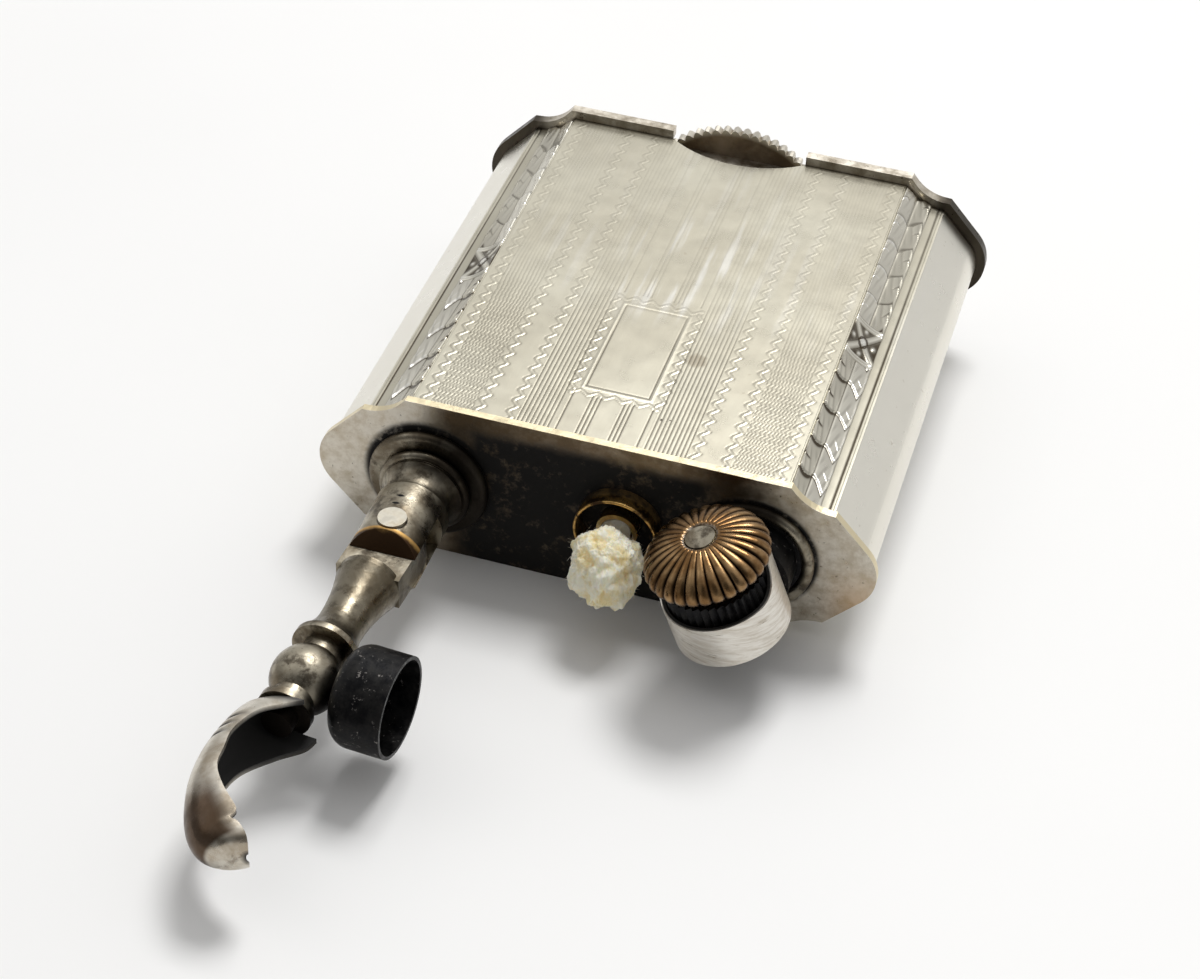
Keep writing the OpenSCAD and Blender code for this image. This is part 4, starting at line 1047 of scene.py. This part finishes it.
dress(cotton("cotton", (0.93, 0.91, 0.86), (0.84, 0.81, 0.73)), "cotton_wadding", "cotton_fill")
dress(cotton("wick_cord", (0.86, 0.82, 0.72), (0.7, 0.63, 0.5)), "wick", "wick_strands")
dress(cotton("frayed_cotton", (0.97, 0.91, 0.74), (0.92, 0.76, 0.42)), "wick_tuft", "frayed_wick")


# Floor, light and camera

# Where the table touches the lighter, as y and z in MM: the filler disc's edge and the top plate's
DISC_Y, DISC_GAP, PLATE_LOW_Z = BASE_Y - 0.4, 0.02, -0.47
TABLE_R = 0.9


def floor():
    """The table: the lighter tips on to its filler disc, so the table slopes in the CAD frame."""
    low_z = MID_Z - FILLER_R - DISC_GAP
    slope = math.atan2(PLATE_LOW_Z - low_z, TOP_Y - DISC_Y)
    mesh = bpy.data.meshes.new("table_top")
    n = 96
    turns = [2 * math.pi * k / n for k in range(n)]
    points = [(0, 0, 0)] + [(TABLE_R * math.cos(a), TABLE_R * math.sin(a), 0) for a in turns]
    mesh.from_pydata(points, [], [(0, 1 + k, 1 + (k + 1) % n) for k in range(n)])
    obj = bpy.data.objects.new("table_top", mesh)
    bpy.context.scene.collection.objects.link(obj)
    z = low_z - DISC_Y * math.tan(slope)
    obj.matrix_world = move(0, 0, z * MM) @ Matrix.Rotation(slope, 4, "X")
    m = Material("table", 0.0)
    haze = m.noise(0.012, 3)
    colour = m.mix(haze, (0.86, 0.855, 0.845), (0.9, 0.895, 0.885))
    mesh.materials.append(m.set(colour, m.ramp(haze, 0.3, 0.7, 0.45, 0.6)))


# Parts of the studio: a direction, a range of how far one looks along it, and the levels at its ends
SKY = ((0.1, 0.75, 0.65), (0.0, 0.6), (0.32, 0.68))
PHOTOGRAPHER = ((0.12, -0.8, 0.58), (0.8, 0.95), (1.0, 0.3))


def world():
    """A studio that is brightest above and behind the lighter, and dark round the photographer."""
    studio = bpy.data.worlds.new("studio")
    bpy.context.scene.world = studio
    studio.use_nodes = True
    tree = studio.node_tree
    heading = tree.nodes.new("ShaderNodeTexCoord").outputs["Generated"]
    both = tree.nodes.new("ShaderNodeMath")
    both.operation = "MULTIPLY"
    for k, (direction, reach, levels) in enumerate((SKY, PHOTOGRAPHER)):
        lean = tree.nodes.new("ShaderNodeVectorMath")
        lean.operation = "DOT_PRODUCT"
        tree.links.new(heading, lean.inputs[0])
        lean.inputs[1].default_value = direction
        shade = tree.nodes.new("ShaderNodeMapRange")
        shade.interpolation_type = "SMOOTHSTEP"
        tree.links.new(lean.outputs["Value"], shade.inputs[0])
        for socket, v in enumerate(reach + levels, 1):
            shade.inputs[socket].default_value = v
        tree.links.new(shade.outputs[0], both.inputs[k])
    back = tree.nodes["Background"]
    tree.links.new(both.outputs[0], back.inputs["Color"])
    back.inputs["Strength"].default_value = 1.0


LAMP_AIM = (0, -0.01, 0)


def lamp(name, at, size, watts):
    data = bpy.data.lights.new(name, "AREA")
    data.shape, data.size, data.size_y, data.energy = "RECTANGLE", size[0], size[1], watts
    obj = bpy.data.objects.new(name, data)
    bpy.context.scene.collection.objects.link(obj)
    obj.location = at
    obj.rotation_euler = (Vector(LAMP_AIM) - Vector(at)).to_track_quat("-Z", "Y").to_euler()


# The photograph's viewpoint, from its perspective lines
CAMERA_AT = (0.0348124, -0.1460625, 0.1227635)
CAMERA_RIGHT = (0.95527, 0.29324, 0.03827)
CAMERA_DOWN = (0.22039, -0.61963, -0.75332)
CAMERA_AHEAD = (-0.19719, 0.72806, -0.65654)
SENSOR_W, FOCAL_LENGTH = 36.0, 77.216


def camera():
    data = bpy.data.cameras.new("camera")
    data.sensor_fit, data.sensor_width, data.lens = "HORIZONTAL", SENSOR_W, FOCAL_LENGTH
    data.clip_start, data.clip_end = 0.005, 10
    obj = bpy.data.objects.new("camera", data)
    bpy.context.scene.collection.objects.link(obj)
    turn = Matrix((Vector(CAMERA_RIGHT), -Vector(CAMERA_DOWN), -Vector(CAMERA_AHEAD)))
    obj.matrix_world = Matrix.Translation(CAMERA_AT) @ turn.transposed().to_4x4()
    bpy.context.scene.camera = obj


floor()
world()
lamp("key", (0.04, 0.3, 0.6), (0.26, 0.22), 2.75)
lamp("fill", (-0.45, -0.05, 0.4), (0.3, 0.3), 0.15)
camera()

bpy.context.scene.view_settings.view_transform = "Standard"
